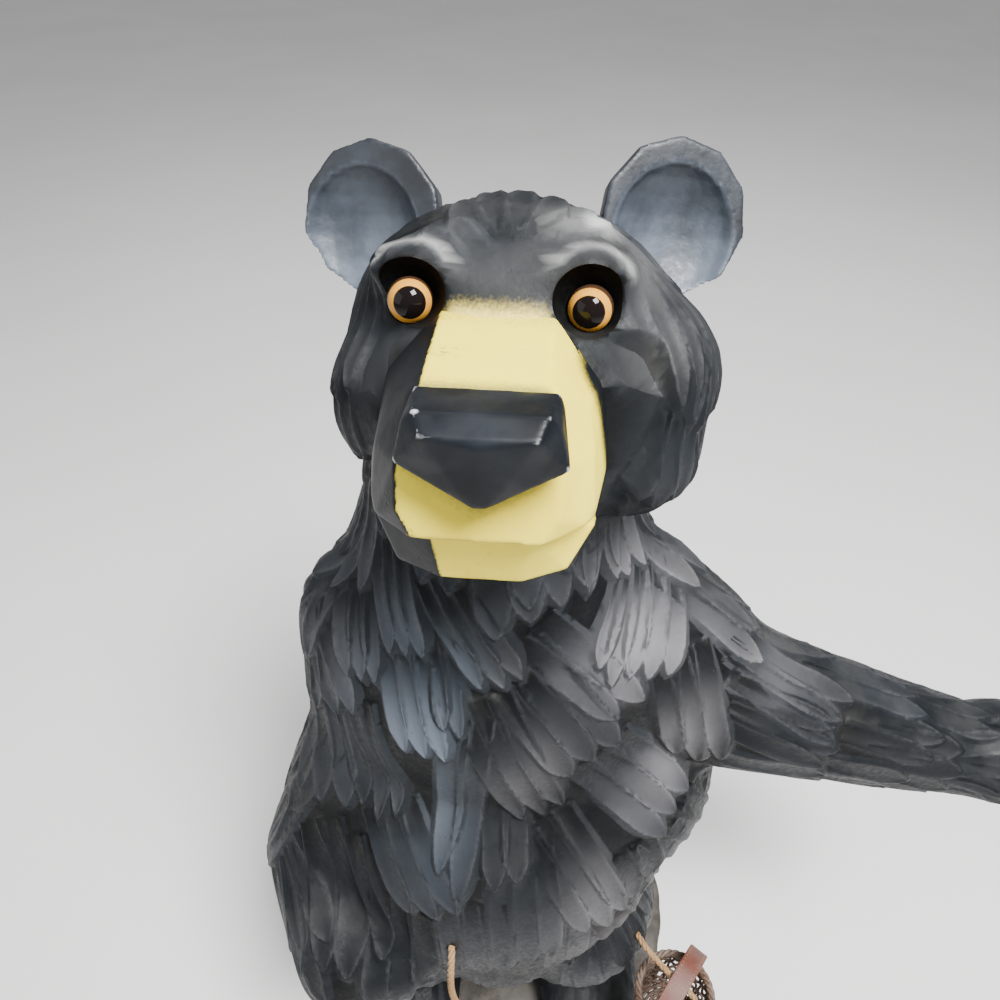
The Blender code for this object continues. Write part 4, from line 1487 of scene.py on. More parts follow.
@dataclass(frozen=True)
class FurFinish:
    """Charcoal resin with painted shade in the cuts, painted sheen and highlights, dry-brushed on
    the tips.

    Attributes:
        base: Blue-black of the sprayed coat.
        deep: Near black of the painted shade at the flutes' roots and in the eye sockets.
        brushed: Warm grey of the dry brush, and of painted light on the bear's left side.
        sheen_blue_grey: Blue-grey of the painted sheen, strongest on the bear's right shoulder.
        bare: White of the bare resin in chips and wear, and of the painted highlight on the brows.
        cream: Overspray from the muzzle.
    """

    base: Colour = (0.0046, 0.0062, 0.0078, 1.0)
    deep: Colour = (0.0006, 0.0008, 0.0010, 1.0)
    brushed: Colour = (0.235, 0.226, 0.236, 1.0)
    sheen_blue_grey: Colour = (0.090, 0.110, 0.138, 1.0)
    bare: Colour = (0.62, 0.62, 0.60, 1.0)
    cream: Colour = (0.90, 0.72, 0.16, 1.0)

    def build(self, effects: SharedEffects) -> bpy.types.Material:
        """Make the material.

        Args:
            effects: Shared node groups.

        Returns:
            The material.
        """
        made, kit, shader = start_material("carved resin fur")
        place = kit.place()
        cloud = kit.noise(place, 26.0, 5.0)
        grain = kit.noise(place, 420.0, 3.0)
        along, edge, tone = (kit.attribute(name) for name in ("along", "edge", "tone"))
        brush, ridge = kit.attribute("brush"), kit.attribute("ridge")
        # Painted blue-grey sheen, by the blue attribute towards the tips and in clouds over the
        # coat.
        spot_sheen = kit.math("MULTIPLY", kit.attribute("blue"), kit.span(tone, 0.0, 1.0, 0.45, 1.0))
        sheen = kit.math("MULTIPLY", kit.span(tone, 0.2, 1.0),
                         kit.span(cloud, 0.3, 0.7, 0.02, 0.10))
        coat = kit.mix(sheen, self.base, self.sheen_blue_grey)
        tips = kit.span(along, 0.12, 0.85, 0.10, 1.0)
        coat = kit.mix(kit.math("MULTIPLY", spot_sheen, tips), coat, self.sheen_blue_grey)
        streaks = kit.math("ADD", kit.span(tone, 0.0, 1.0, 0.45, 0.80),
                           kit.span(cloud, 0.3, 0.7, 0.0, 0.25))
        # Dry brush towards the tips, also painted light on the bear's left side.
        dry = kit.math("MULTIPLY", kit.math("MULTIPLY", brush, tips), streaks, clamp=True)
        coat = kit.mix(dry, coat, self.brushed)
        # Painted highlight along the ridges between flutes, stronger where dry-brushed.
        ridge_highlight = kit.math("MULTIPLY", edge, kit.span(grain, 0.25, 0.65, 0.15, 0.75))
        ridge_highlight = kit.math("MULTIPLY", ridge_highlight, kit.span(brush, 0.0, 0.6, 0.30, 1.0))
        coat = kit.mix(kit.math("MULTIPLY", ridge_highlight, 0.7), coat, (0.20, 0.20, 0.21, 1.0))
        # Painted shade at the roots of the flutes, under the tip of the tuft above.
        root = kit.math("MULTIPLY", kit.span(along, 0.0, 0.36, 0.85, 0.0),
                        kit.span(brush, 0.0, 1.0, 1.0, 0.75))
        coat = kit.mix(root, coat, self.deep)
        # Bare resin where the paint is worn, and the painted highlight along the brows.
        worn = kit.math("MULTIPLY", kit.attribute("worn"), kit.span(cloud, 0.40, 0.60, 0.25, 1.0))
        worn = kit.math("MULTIPLY", worn, kit.span(tone, 0.25, 0.45, 0.30, 1.0))
        coat = kit.mix(kit.math("MULTIPLY", worn, 0.62, clamp=True), coat, self.bare)
        speck = kit.noise(place, 900.0, 2.0)
        spray = kit.math("ADD", kit.attribute("cream"),
                         kit.math("MULTIPLY", kit.math("SUBTRACT", speck, 0.5), 0.4))
        coat = kit.mix(kit.span(spray, 0.15, 0.95), coat, self.cream)
        # Painted shade in the eye sockets.
        coat = kit.mix(kit.span(kit.attribute("socket"), 0.0, 1.0, 0.0, 0.93), coat, self.deep)
        chips = kit.group(effects.chips, Vector=place, Edge=ridge, Amount=0.12)
        coat = kit.mix(chips.outputs[0], coat, self.bare)
        dust = kit.group(effects.dust, Vector=place, Groove=kit.attribute("groove"), Amount=0.05)
        coat = kit.mix(dust.outputs[0], coat, (0.33, 0.32, 0.30, 1.0))
        kit.feed(coat, shader.inputs["Base Color"])
        kit.feed(kit.span(grain, 0.3, 0.7, 0.40, 0.58), shader.inputs["Roughness"])
        shader.inputs["Specular IOR Level"].default_value = 0.12
        pits = kit.group(effects.pits, Vector=place, Scale=330.0, Share=0.06)
        height = kit.math("SUBTRACT", kit.math("MULTIPLY", grain, 0.35),
                          kit.math("MULTIPLY", pits.outputs[0], 0.7))
        height = kit.math("ADD", height, kit.math("MULTIPLY", kit.noise(place, 110.0, 4.0), 0.9))
        kit.feed(kit.bump(height, 0.5, 0.0007), shader.inputs["Normal"])
        return made


@dataclass(frozen=True)
class EarFinish:
    """Blue-grey spray inside the ears, darker on their rims, with painted shade up in the bowls and
    grooves.

    Attributes:
        dark: Colour of rims and backs.
        light: Colour of the bowls, less of it at their upper part as painted shade.
        bare: White of the bare resin in chips.
    """

    dark: Colour = (0.0095, 0.0117, 0.0152, 1.0)
    light: Colour = (0.088, 0.106, 0.136, 1.0)
    bare: Colour = (0.50, 0.52, 0.54, 1.0)

    def build(self, effects: SharedEffects) -> bpy.types.Material:
        """Make the material.

        Args:
            effects: Shared node groups.

        Returns:
            The material.
        """
        made, kit, shader = start_material("ear spray")
        place = kit.place()
        cloud = kit.noise(place, 55.0, 4.0)
        grain = kit.noise(place, 420.0, 3.0)
        patch = kit.math("MULTIPLY", kit.attribute("bowl"), kit.span(cloud, 0.30, 0.66, 0.55, 1.0))
        coat = kit.mix(kit.math("ADD", patch, kit.span(cloud, 0.3, 0.7, 0.0, 0.2), clamp=True),
                       self.dark, self.light)
        # Painted shade in the grooves.
        coat = kit.mix(kit.math("MULTIPLY", kit.attribute("groove"), 0.45), coat,
                       (0.012, 0.014, 0.018, 1.0))
        chips = kit.group(effects.chips, Vector=place, Edge=kit.attribute("ridge"), Amount=0.16)
        coat = kit.mix(kit.math("MULTIPLY", chips.outputs[0], 0.4), coat, self.bare)
        kit.feed(coat, shader.inputs["Base Color"])
        kit.feed(kit.span(grain, 0.3, 0.7, 0.40, 0.56), shader.inputs["Roughness"])
        height = kit.math("ADD", kit.math("MULTIPLY", grain, 0.3), kit.noise(place, 80.0, 4.0))
        kit.feed(kit.bump(height, 0.5, 0.0008), shader.inputs["Normal"])
        return made


@dataclass(frozen=True)
class MuzzleFinish:
    """Cream sprayed over the muzzle, fading into the coat.

    Attributes:
        cream: The sprayed cream.
        sunk: Deeper yellow, mixed into the cream in clouds.
        airbrush_and_shade: Grey round the nose, part airbrush, part painted shade; painted shade
            over the chin.
        coat: Charcoal of the coat.
        stain: Green stain on the bridge.
    """

    cream: Colour = (1.0, 0.82, 0.055, 1.0)
    sunk: Colour = (0.84, 0.60, 0.045, 1.0)
    airbrush_and_shade: Colour = (0.09, 0.085, 0.06, 1.0)
    coat: Colour = (0.0046, 0.0062, 0.0078, 1.0)
    stain: Colour = (0.20, 0.26, 0.05, 1.0)

    def build(self, effects: SharedEffects) -> bpy.types.Material:
        """Make the material.

        Args:
            effects: Shared node groups.

        Returns:
            The material.
        """
        made, kit, shader = start_material("sprayed cream muzzle")
        place = kit.place()
        cloud = kit.noise(place, 45.0, 5.0)
        speck = kit.math("SUBTRACT", kit.noise(place, 900.0, 2.0), 0.5)
        coat = kit.mix(kit.span(cloud, 0.4, 0.7, 0.0, 0.5), self.cream, self.sunk)
        green = kit.math("MULTIPLY", kit.attribute("stain"),
                         kit.span(kit.noise(place, 320.0), 0.45, 0.6))
        coat = kit.mix(green, coat, self.stain)
        # Painted shade under the nose and in the groove over the chin, with airbrushed grey above
        # the nose.
        shade = kit.math("ADD", kit.attribute("shade"), kit.math("MULTIPLY", speck, 0.45))
        coat = kit.mix(kit.span(shade, 0.10, 1.10, 0.0, 0.85), coat, self.airbrush_and_shade)
        dark = kit.math("ADD", kit.attribute("charcoal"), kit.math("MULTIPLY", speck, 0.45))
        coat = kit.mix(kit.span(dark, 0.12, 0.88), coat, self.coat)
        kit.feed(coat, shader.inputs["Base Color"])
        kit.feed(kit.span(cloud, 0.3, 0.7, 0.40, 0.52), shader.inputs["Roughness"])
        shader.inputs["Specular IOR Level"].default_value = 0.15
        pits = kit.group(effects.pits, Vector=place, Scale=300.0, Share=0.16)
        height = kit.math("SUBTRACT", kit.noise(place, 70.0, 4.0),
                          kit.math("MULTIPLY", pits.outputs[0], 0.5))
        kit.feed(kit.bump(height, 0.5, 0.0008), shader.inputs["Normal"])
        return made


@dataclass(frozen=True)
class NoseFinish:
    """Near-black painted nose with bright edges, part worn paint and part painted highlight.

    Attributes:
        paint: The blue-black paint.
        edge: Bright line along the edges, part worn paint and part painted highlight.
    """

    paint: Colour = (0.003, 0.0042, 0.0060, 1.0)
    edge: Colour = (0.60, 0.61, 0.61, 1.0)

    def build(self, effects: SharedEffects) -> bpy.types.Material:
        """Make the material.

        Args:
            effects: Shared node groups.

        Returns:
            The material.
        """
        made, kit, shader = start_material("painted nose")
        place = kit.place()
        rough = kit.noise(place, 150.0, 3.0, 0.5)
        broad = kit.noise(place, 48.0, 2.0)
        coat = kit.mix(kit.span(broad, 0.4, 0.75, 0.0, 0.5), self.paint, (0.020, 0.024, 0.030, 1.0))
        # Bright line along the ridges: part worn paint, part painted highlight.
        line = kit.math("MULTIPLY", kit.span(kit.attribute("ridge"), 0.12, 0.45),
                        kit.span(rough, 0.38, 0.52))
        coat = kit.mix(kit.math("MULTIPLY", line, 0.8, clamp=True), coat, self.edge)
        kit.feed(coat, shader.inputs["Base Color"])
        kit.feed(kit.span(rough, 0.3, 0.7, 0.34, 0.55), shader.inputs["Roughness"])
        shader.inputs["Specular IOR Level"].default_value = 0.16
        pits = kit.group(effects.pits, Vector=place, Scale=900.0, Share=0.05)
        height = kit.math("SUBTRACT", kit.math("MULTIPLY", broad, 0.9),
                          kit.math("MULTIPLY", pits.outputs[0], 0.2))
        kit.feed(kit.bump(height, 0.4, 0.0012), shader.inputs["Normal"])
        return made


@dataclass(frozen=True)
class EyeFinish:
    """Domed eye with a tan iris and a large black pupil.

    Attributes:
        iris: Tan of the iris.
        rim: Dark line round the iris.
        pupil_edge: Share of the way to the iris's edge where the pupil ends.
    """

    iris: Colour = (0.60, 0.27, 0.030, 1.0)
    rim: Colour = (0.045, 0.022, 0.012, 1.0)
    pupil_edge: float = 0.63

    def build(self) -> bpy.types.Material:
        """Make the material.

        Returns:
            The material.
        """
        made, kit, shader = start_material("domed eye")
        gaze = kit.attribute("gaze")
        ring = kit.mix(kit.span(kit.noise(kit.place(), 500.0, 3.0), 0.3, 0.7, 0.0, 0.3), self.iris,
                       (0.68, 0.35, 0.055, 1.0))
        coat = kit.mix(kit.span(gaze, self.pupil_edge - 0.02, self.pupil_edge + 0.02),
                       (0.006, 0.004, 0.004, 1.0), ring)
        coat = kit.mix(kit.span(gaze, 0.97, 1.02), coat, self.rim)
        kit.feed(coat, shader.inputs["Base Color"])
        shader.inputs["Roughness"].default_value = 0.05
        shader.inputs["Specular IOR Level"].default_value = 0.18
        return made


@dataclass
class Eye:
    """One domed eye in its seat.

    Attributes:
        side: Which of the bear's eyes it is.
        centre: Its centre in the world.
        diameter: Its diameter.
        aim: Where it looks, in the head's steps from its own centre.
        iris_angle: Angle from its axis to the iris's edge.
    """

    side: Side
    centre: Vector
    diameter: float
    aim: tuple[float, float, float]
    iris_angle: float = math.radians(69)

    def build(self, finish: bpy.types.Material) -> bpy.types.Object:
        """Make the eye.

        Args:
            finish: Its material.

        Returns:
            The eye.
        """
        way = (FIGURE.head_turn @ Vector(self.aim)).normalized()
        shape = bmesh.new()
        bmesh.ops.create_uvsphere(shape, u_segments=64, v_segments=64, radius=self.diameter / 2,
                                  matrix=Matrix.Translation(self.centre) @ aimed(way))
        eye = dressed(f"eye_{self.side.name.lower()}_domed", shape, finish)
        places, _ = mesh_arrays(eye.data)
        out = places - np.array(self.centre)
        cosine = out @ np.array(way) / np.linalg.norm(out, axis=1)
        put_attribute(eye.data, "gaze", np.arccos(cosine.clip(-1, 1)) / self.iris_angle)
        return eye


def add_rod(shape: bmesh.types.BMesh, points: Sequence[Vector], radius: float, sides: int = 6,
            closed: bool = False) -> None:
    """Sweep a round rod along points.

    Args:
        shape: The bmesh to add to.
        points: Its centre line.
        radius: Its radius.
        sides: Sides of its section.
        closed: Whether its ends meet.
    """
    rings = []
    count = len(points)
    for number, point in enumerate(points):
        before = points[number - 1] if number or closed else point
        after = points[(number + 1) % count] if number < count - 1 or closed else point
        ring = bmesh.ops.create_circle(shape, cap_ends=False, segments=sides, radius=radius,
                                       matrix=Matrix.Translation(point) @ aimed(after - before))
        rings.append(ring["verts"])
    for near, far in zip(rings, rings[1:] + rings[:int(closed)]):
        start = min(range(sides), key=lambda turn: (far[turn].co - near[0].co).length)
        for side in range(sides):
            shape.faces.new((near[side], near[(side + 1) % sides],
                             far[(start + side + 1) % sides], far[(start + side) % sides]))
    if not closed:
        shape.faces.new(rings[0])
        shape.faces.new(rings[-1])


def smooth_route(points: Sequence[Vector], spacing: float) -> list[Vector]:
    """Points at an even spacing along the smooth curve through a route.

    Args:
        points: Corners of the route.
        spacing: Wanted distance between points.

    Returns:
        The points.
    """
    padded = [2 * points[0] - points[1], *points, 2 * points[-1] - points[-2]]
    dense = []
    for before, start, end, after in zip(padded, padded[1:], padded[2:], padded[3:]):
        for part in range(20):
            share = part / 20
            dense.append(0.5 * (2 * start + (end - before) * share
                                + (2 * before - 5 * start + 4 * end - after) * share ** 2
                                + (3 * start - before - 3 * end + after) * share ** 3))
    dense.append(points[-1])
    lengths = np.cumsum([0.0] + [(end - start).length for start, end in zip(dense, dense[1:])])
    count = max(2, round(lengths[-1] / spacing)) + 1
    places = np.array([tuple(point) for point in dense])
    wanted = np.linspace(0.0, lengths[-1], count)
    return [Vector(row) for row in
            np.column_stack([np.interp(wanted, lengths, places[:, axis]) for axis in range(3)])]


@dataclass
class Basket:
    """Small open wicker basket beside the left thigh.

    Attributes:
        diameter: Diameter over its rim.
        foot_diameter: Diameter of its foot.
        height: Its height.
        wall: Thickness of its wall.
        floor: Thickness of its floor.
        rim_thickness: Thickness of the rim's braid.
        stakes: Number of upright stakes.
        rows: Number of woven rows.
        standoff: Distance from the thigh.
        bearing: Way out from the thigh.
        rim_level: Level of the rim in steps.
        stake_radius: Radius of a stake.
        weaver_radius: Radius of a weaver.
        sway: How far a weaver goes in and out.
        ripple: How far it goes up and down.
        floor_rows: Number of rows in the floor.
        floor_radius: Radius of a floor row's rod.
        floor_dip: How far a floor row goes up and down.
        strands: Strands in the rim's braid.
        strand_radius: Radius of a strand.
        strand_reach: How far a strand is off the braid's middle.
        twists: Turns of a strand round the rim.
    """

    diameter: float = 0.054
    foot_diameter: float = 0.042
    height: float = 0.050
    wall: float = 0.0035
    floor: float = 0.004
    rim_thickness: float = 0.006
    stakes: int = 17
    rows: int = 9
    standoff: float = 0.0015
    bearing: float = math.radians(-44)
    rim_level: float = 127.7
    stake_radius: float = 0.0009
    weaver_radius: float = 0.00095
    sway: float = 0.0011
    ripple: float = 0.0003
    floor_rows: int = 7
    floor_radius: float = 0.0013
    floor_dip: float = 0.0007
    strands: int = 3
    strand_radius: float = 0.00125
    strand_reach: float = 0.0013
    twists: int = 11

    @property
    def mouth(self) -> Vector:
        """Middle of the basket's mouth in the world."""
        thigh, radii = (50.0, -38.0, 135.0), (56.0, 58.0, 64.0)
        way = Vector((math.cos(self.bearing), math.sin(self.bearing), 0.0))
        rise = (self.rim_level - thigh[2]) / radii[2]
        level = math.sqrt(1.0 - rise ** 2)
        reach = level / math.hypot(way.x / radii[0], way.y / radii[1]) * FIGURE.step
        middle = FIGURE.on(thigh[0], thigh[1], self.rim_level)
        return middle + way * (reach + self.standoff + self.diameter / 2)

    def wall_radius(self, height: float) -> float:
        """Radius of the wall's middle at a height over the foot."""
        foot = self.foot_diameter / 2
        mouth = self.diameter / 2 - self.rim_thickness / 3
        return foot + (mouth - foot) * height / self.height - self.wall / 2

    def spot(self, around: float, radius: float, level: float) -> Vector:
        """World place at an angle and radius from the axis and a level over the foot."""
        foot = self.mouth - Vector((0.0, 0.0, self.height))
        return foot + Vector((radius * math.cos(around), radius * math.sin(around), level))

    def weave(self, level: float, phase: float, turns: int = 102) -> list[Vector]:
        """Centre line of one weaver that goes in and out between the stakes.

        Args:
            level: Its height over the foot.
            phase: 0 or pi, so that rows alternate.
            turns: Points round the basket.

        Returns:
            The points, in the world.
        """
        points = []
        for number in range(turns):
            around = 2 * math.pi * number / turns
            radius = self.wall_radius(level) + self.sway * math.cos(self.stakes * around + phase)
            rise = self.ripple * math.sin(5 * around + phase)
            points.append(self.spot(around, radius, level + rise))
        return points

    def build(self, finish: bpy.types.Material) -> bpy.types.Object:
        """Make the basket.

        Args:
            finish: Its material.

        Returns:
            The basket.
        """
        shape = bmesh.new()
        top = self.height - self.rim_thickness / 2
        base = self.wall_radius(0)
        for number in range(self.stakes):
            around = 2 * math.pi * number / self.stakes
            line = [self.spot(around, radius, self.floor * 0.6)
                    for radius in (base * 0.15, base - 0.001)]
            line += [self.spot(around, self.wall_radius(share * top), share * top)
                     for share in (0.12, 0.35, 0.6, 0.85, 1.0)]
            add_rod(shape, line, self.stake_radius)
        for row in range(self.rows):
            band = row // 3 * 0.0042
            level = 0.0035 + row * (top - 0.018) / (self.rows - 1) + band
            add_rod(shape, self.weave(level, math.pi * (row % 2)), self.weaver_radius, closed=True)
        for row in range(self.floor_rows):
            radius = base * (0.2 + 0.8 * row / (self.floor_rows - 1))
            ring = [self.spot(turn, radius, self.floor * 0.55 + self.floor_dip
                              * math.cos(self.stakes * turn + math.pi * row))
                    for turn in np.linspace(0, 2 * math.pi, 69)[:-1]]
            add_rod(shape, ring, self.floor_radius, closed=True)
        for strand in range(self.strands):
            phase = 2 * math.pi * strand / self.strands
            ring = []
            for number in range(132):
                around = 2 * math.pi * number / 132
                twist = self.twists * around + phase
                radius = self.wall_radius(top) + self.strand_reach * math.cos(twist)
                ring.append(self.spot(around, radius, top + self.strand_reach * math.sin(twist)))
            add_rod(shape, ring, self.strand_radius, closed=True)
        return dressed("basket_woven", shape, finish)


@dataclass
class Handle:
    """Leather band over the basket's mouth.

    Attributes:
        basket: The basket that it is on.
        rise: Height of its top over the rim.
        width: Its width.
        thickness: Its thickness.
        tab: How far its ends reach below the rim.
        bearing: Direction that it crosses the mouth in.
        stitch_spacing: Distance between the ends of stitches.
        stitch_inset: How far the stitches are off the band's middle, as a share of its width.
        edge_radius: Radius of its soft edges.
    """

    basket: Basket
    rise: float = 0.022
    width: float = 0.012
    thickness: float = 0.0025
    tab: float = 0.013
    bearing: float = math.radians(50)
    stitch_spacing: float = 0.0014
    stitch_inset: float = 0.36
    edge_radius: float = 0.0006

    @property
    def half_span(self) -> float:
        """From the basket's middle to the middle of the band beside the rim."""
        return self.basket.diameter / 2 + self.thickness / 2 + FIGURE.seat_gap

    @property
    def matrix(self) -> Matrix:
        """From the band's own frame, over the middle of the mouth, to the world."""
        return Matrix.Translation(self.basket.mouth) @ Matrix.Rotation(self.bearing, 4, "Z")

    def line(self) -> list[tuple[float, float]]:
        """Centre line of the band, along and up."""
        arch = [(-self.half_span * math.cos(turn), self.rise * math.sin(turn))
                for turn in np.linspace(0.0, math.pi, 37)]
        return [(-self.half_span, -self.tab), (-self.half_span, -self.tab / 2), *arch,
                (self.half_span, -self.tab / 2), (self.half_span, -self.tab)]

    def build(self, finish: bpy.types.Material) -> bpy.types.Object:
        """Make the band with soft edges.

        Args:
            finish: Its material.

        Returns:
            The handle.
        """
        shape = bmesh.new()
        start = [shape.verts.new((self.line()[0][0], side * self.width / 2, self.line()[0][1]))
                 for side in (-1, -0.9, -0.4, 0, 0.4, 0.9, 1)]
        edges = [shape.edges.new(pair) for pair in zip(start, start[1:])]
        previous = self.line()[0]
        for place in self.line()[1:]:
            grown = bmesh.ops.extrude_edge_only(shape, edges=edges)["geom"]
            fresh = [item for item in grown if isinstance(item, bmesh.types.BMVert)]
            bmesh.ops.translate(shape, verts=fresh,
                                vec=(place[0] - previous[0], 0.0, place[1] - previous[1]))
            edges = [item for item in grown if isinstance(item, bmesh.types.BMEdge)]
            previous = place
        shape.transform(self.matrix)
        handle = new_object("handle_band", shape)
        band = handle.modifiers.new("band", "SOLIDIFY")
        band.thickness = self.thickness
        band.offset = 0.0
        soft = handle.modifiers.new("soft edges", "BEVEL")
        soft.width = self.edge_radius
        soft.segments = 3
        soft.limit_method = "ANGLE"
        handle.data.materials.append(finish)
        settle(handle)
        handle.data.shade_smooth()
        handle.data.set_sharp_from_angle(angle=math.radians(50))
        return handle

    def stitches(self, finish: bpy.types.Material) -> bpy.types.Object:
        """Waxed stitches along both edges of the band.

        Args:
            finish: Their material.

        Returns:
            The stitches as one piece.
        """
        route = smooth_route([Vector((along, 0.0, up)) for along, up in self.line()],
                             self.stitch_spacing)
        shape = bmesh.new()
        for side in (-1, 1):
            for number in range(1, len(route) - 2, 2):
                start, end = route[number], route[number + 1]
                run = end - start
                out = Vector((-run.z, 0.0, run.x)).normalized() * (self.thickness / 2 + 0.0001)
                middle = (start + end) / 2 + out
                middle += Vector((0.0, side * self.width * self.stitch_inset, 0.0))
                turn = run.to_track_quat("X", "Z").to_matrix().to_4x4()
                stretch = Matrix.Diagonal((run.length * 0.42, 0.00035, 0.0003, 1.0))
                bmesh.ops.create_icosphere(shape, subdivisions=1, radius=1.0,
                                           matrix=Matrix.Translation(middle) @ turn @ stretch)
        shape.transform(self.matrix)
        return dressed("handle_stitches", shape, finish)


@dataclass
class Twine:
    """Jute twine from one hole in the fur, round the handle, to the other hole.

    Attributes:
        handle: The handle that it carries.
        diameter: Its diameter.
        plies: Number of plies twisted together.
        lay: Length of one turn of the plies.
        spacing: Distance between the points of its route.
        fine_spacing: Distance between the points of its plies.
        ply_share: Radius of a ply as a share of the diameter.
        ply_reach: How far a ply is off the middle, as a share of its radius.
        fall: Its route from the upper hole to the handle, in steps.
        back: Its route from the handle to the lower hole, in steps.
        loop: Its turn round the handle, as shares of the way to the legs, the edge and the top.
    """

    handle: Handle
    diameter: float = 0.004
    plies: int = 3
    lay: float = 0.011
    spacing: float = 0.0095
    fine_spacing: float = 0.0009
    ply_share: float = 0.26
    ply_reach: float = 0.9
    fall: tuple[tuple[float, float, float], ...] = (
        (-25.0, -102.5, 244.0), (-25.2, -111.0, 240.0), (-25.6, -115.5, 234.0),
        (-26.0, -117.6, 224.0), (-26.0, -118.0, 208.0), (-24.5, -118.0, 190.0),
        (-20.0, -118.0, 171.0), (-11.5, -118.0, 154.0), (1.0, -118.5, 141.0),
        (17.0, -119.0, 133.0), (36.0, -120.0, 129.5), (56.0, -121.5, 130.0))
    back: tuple[tuple[float, float, float], ...] = (
        (97.0, -85.0, 151.5), (91.2, -79.5, 154.6), (87.6, -72.8, 153.8), (84.6, -65.5, 151.6))
    loop: tuple[tuple[float, float, float], ...] = (
        (-1.37, 1.35, 0.24), (-1.10, -0.24, 0.37), (-0.82, -1.53, 0.50), (-0.48, -2.25, 0.64),
        (-0.17, -2.10, 0.78), (-0.02, -1.20, 0.89), (0.0, -0.13, 0.95), (0.01, 1.18, 1.01))

    def corners(self) -> list[Vector]:
        """Corners of its route in the world."""
        handle = self.handle
        leg = handle.half_span + (handle.thickness + self.diameter) / 2 + FIGURE.seat_gap
        side = (handle.width + self.diameter) / 2 + FIGURE.seat_gap
        under = handle.rise - (handle.thickness + self.diameter) / 2 - FIGURE.seat_gap
        round_handle = [handle.matrix @ Vector((along * leg, across * side, height * under))
                        for along, across, height in self.loop]
        return ([FIGURE.on(*point) for point in self.fall] + round_handle
                + [FIGURE.on(*point) for point in self.back])

    def holes(self) -> list[tuple[Vector, Vector, float]]:
        """Inner end, outward point and radius of each hole."""
        route = self.corners()
        radius = self.diameter / 2 + 2 * FIGURE.seat_gap
        return [(route[0], route[1], radius), (route[-1], route[-2], radius)]

    def build(self, finish: bpy.types.Material) -> bpy.types.Object:
        """Args:
            finish: Its material.

        Returns:
            The twine.
        """
        centres = smooth_route(self.corners(), self.spacing)
        fine = smooth_route(centres, self.fine_spacing)
        shape = bmesh.new()
        side = Vector((1.0, 0.0, 0.0))
        frames = []
        for number, point in enumerate(fine):
            ahead = (fine[min(number + 1, len(fine) - 1)] - fine[max(number - 1, 0)]).normalized()
            side = (side - ahead * side.dot(ahead)).normalized()
            frames.append((point, side, ahead.cross(side)))
        travelled = np.cumsum([0.0] + [(b - a).length for a, b in zip(fine, fine[1:])])
        ply = self.diameter * self.ply_share
        for number in range(self.plies):
            phase = 2 * math.pi * number / self.plies
            turns = [way / self.lay * 2 * math.pi + phase for way in travelled]
            line = [point + (right * math.cos(turn) + up * math.sin(turn)) * ply * self.ply_reach
                    for (point, right, up), turn in zip(frames, turns)]
            add_rod(shape, line, ply, sides=7)
        twine = dressed("twine_twisted", shape, finish)
        return twine


@dataclass
class Base:
    """Low oval base under the feet.

    Attributes:
        width: Its width.
        depth: Its depth.
        thickness: Its thickness.
        edge_cut: How far its top edge is cut away.
        scoop_depth: Depth of the gouge cuts in its side.
        scoops: Half the number of those cuts.
    """

    width: float = 0.270
    depth: float = 0.256
    thickness: float = 0.022
    edge_cut: float = 0.006
    scoop_depth: float = 0.0016
    scoops: int = 14

    def build(self, finish: bpy.types.Material) -> bpy.types.Object:
        """Make the base with gouged sides.

        Args:
            finish: Its material.

        Returns:
            The base.
        """
        shape = bmesh.new()
        bmesh.ops.create_cone(shape, cap_ends=True, segments=168, radius1=0.5, radius2=0.5,
                              depth=self.thickness)
        for vertex in shape.verts:
            around = math.atan2(vertex.co.y, vertex.co.x)
            wave = 1.0 + 0.015 * math.sin(3 * around + 0.7) + 0.012 * math.sin(5 * around)
            vertex.co.x *= self.width * wave
            vertex.co.y *= self.depth * wave
            vertex.co.z += self.thickness / 2
        top = [edge for edge in shape.edges
               if all(v.co.z > self.thickness * 0.9 for v in edge.verts)]
        round_edges(shape, top, self.edge_cut, 4)
        for vertex in shape.verts:
            around = math.atan2(vertex.co.y, vertex.co.x)
            scoop = abs(math.sin(self.scoops * around + 0.6 * math.sin(4 * around)))
            rim = min(1.0, max(0.0, math.hypot(vertex.co.x / self.width,
                                               vertex.co.y / self.depth) - 0.44) / 0.05)
            height = vertex.co.z / self.thickness
            inward = self.scoop_depth * rim * (1.0 - scoop)
            inward *= math.sin(math.pi * min(1.0, height))
            vertex.co.x -= inward * math.cos(around)
            vertex.co.y -= inward * math.sin(around)
        return dressed("base_carved", shape, finish, 35.0)


@dataclass(frozen=True)
class PlainFinish:
    """Worn matt finish for the base, the wicker, the leather and the twine.

    Attributes:
        name: Name of the material.
        light: Its lighter tone.
        dark: Its darker tone.
        scale: Waves to a metre of its pattern.
        roughness: Its roughness.
        relief: Depth of its bump.
    """

    name: str
    light: Colour
    dark: Colour
    scale: float
    roughness: float
    relief: float

    def build(self, effects: SharedEffects) -> bpy.types.Material:
        """Make the material.

        Args:
            effects: Shared node groups.

        Returns:
            The material.
        """
        made, kit, shader = start_material(self.name)
        place = kit.place()
        fine = kit.noise(place, self.scale, 5.0, 0.65)
        broad = kit.noise(place, self.scale / 9, 4.0)
        coat = kit.mix(kit.span(fine, 0.32, 0.68), self.dark, self.light)
        coat = kit.mix(kit.span(broad, 0.35, 0.7, 0.0, 0.5), coat, self.dark)
        dust = kit.group(effects.dust, Vector=place, Amount=0.2)
        coat = kit.mix(dust.outputs[0], coat, (0.36, 0.34, 0.31, 1.0))
        kit.feed(coat, shader.inputs["Base Color"])
        kit.feed(kit.span(fine, 0.2, 0.8, self.roughness - 0.1, self.roughness + 0.1),
                 shader.inputs["Roughness"])
        kit.feed(kit.bump(fine, 0.7, self.relief), shader.inputs["Normal"])
        return made


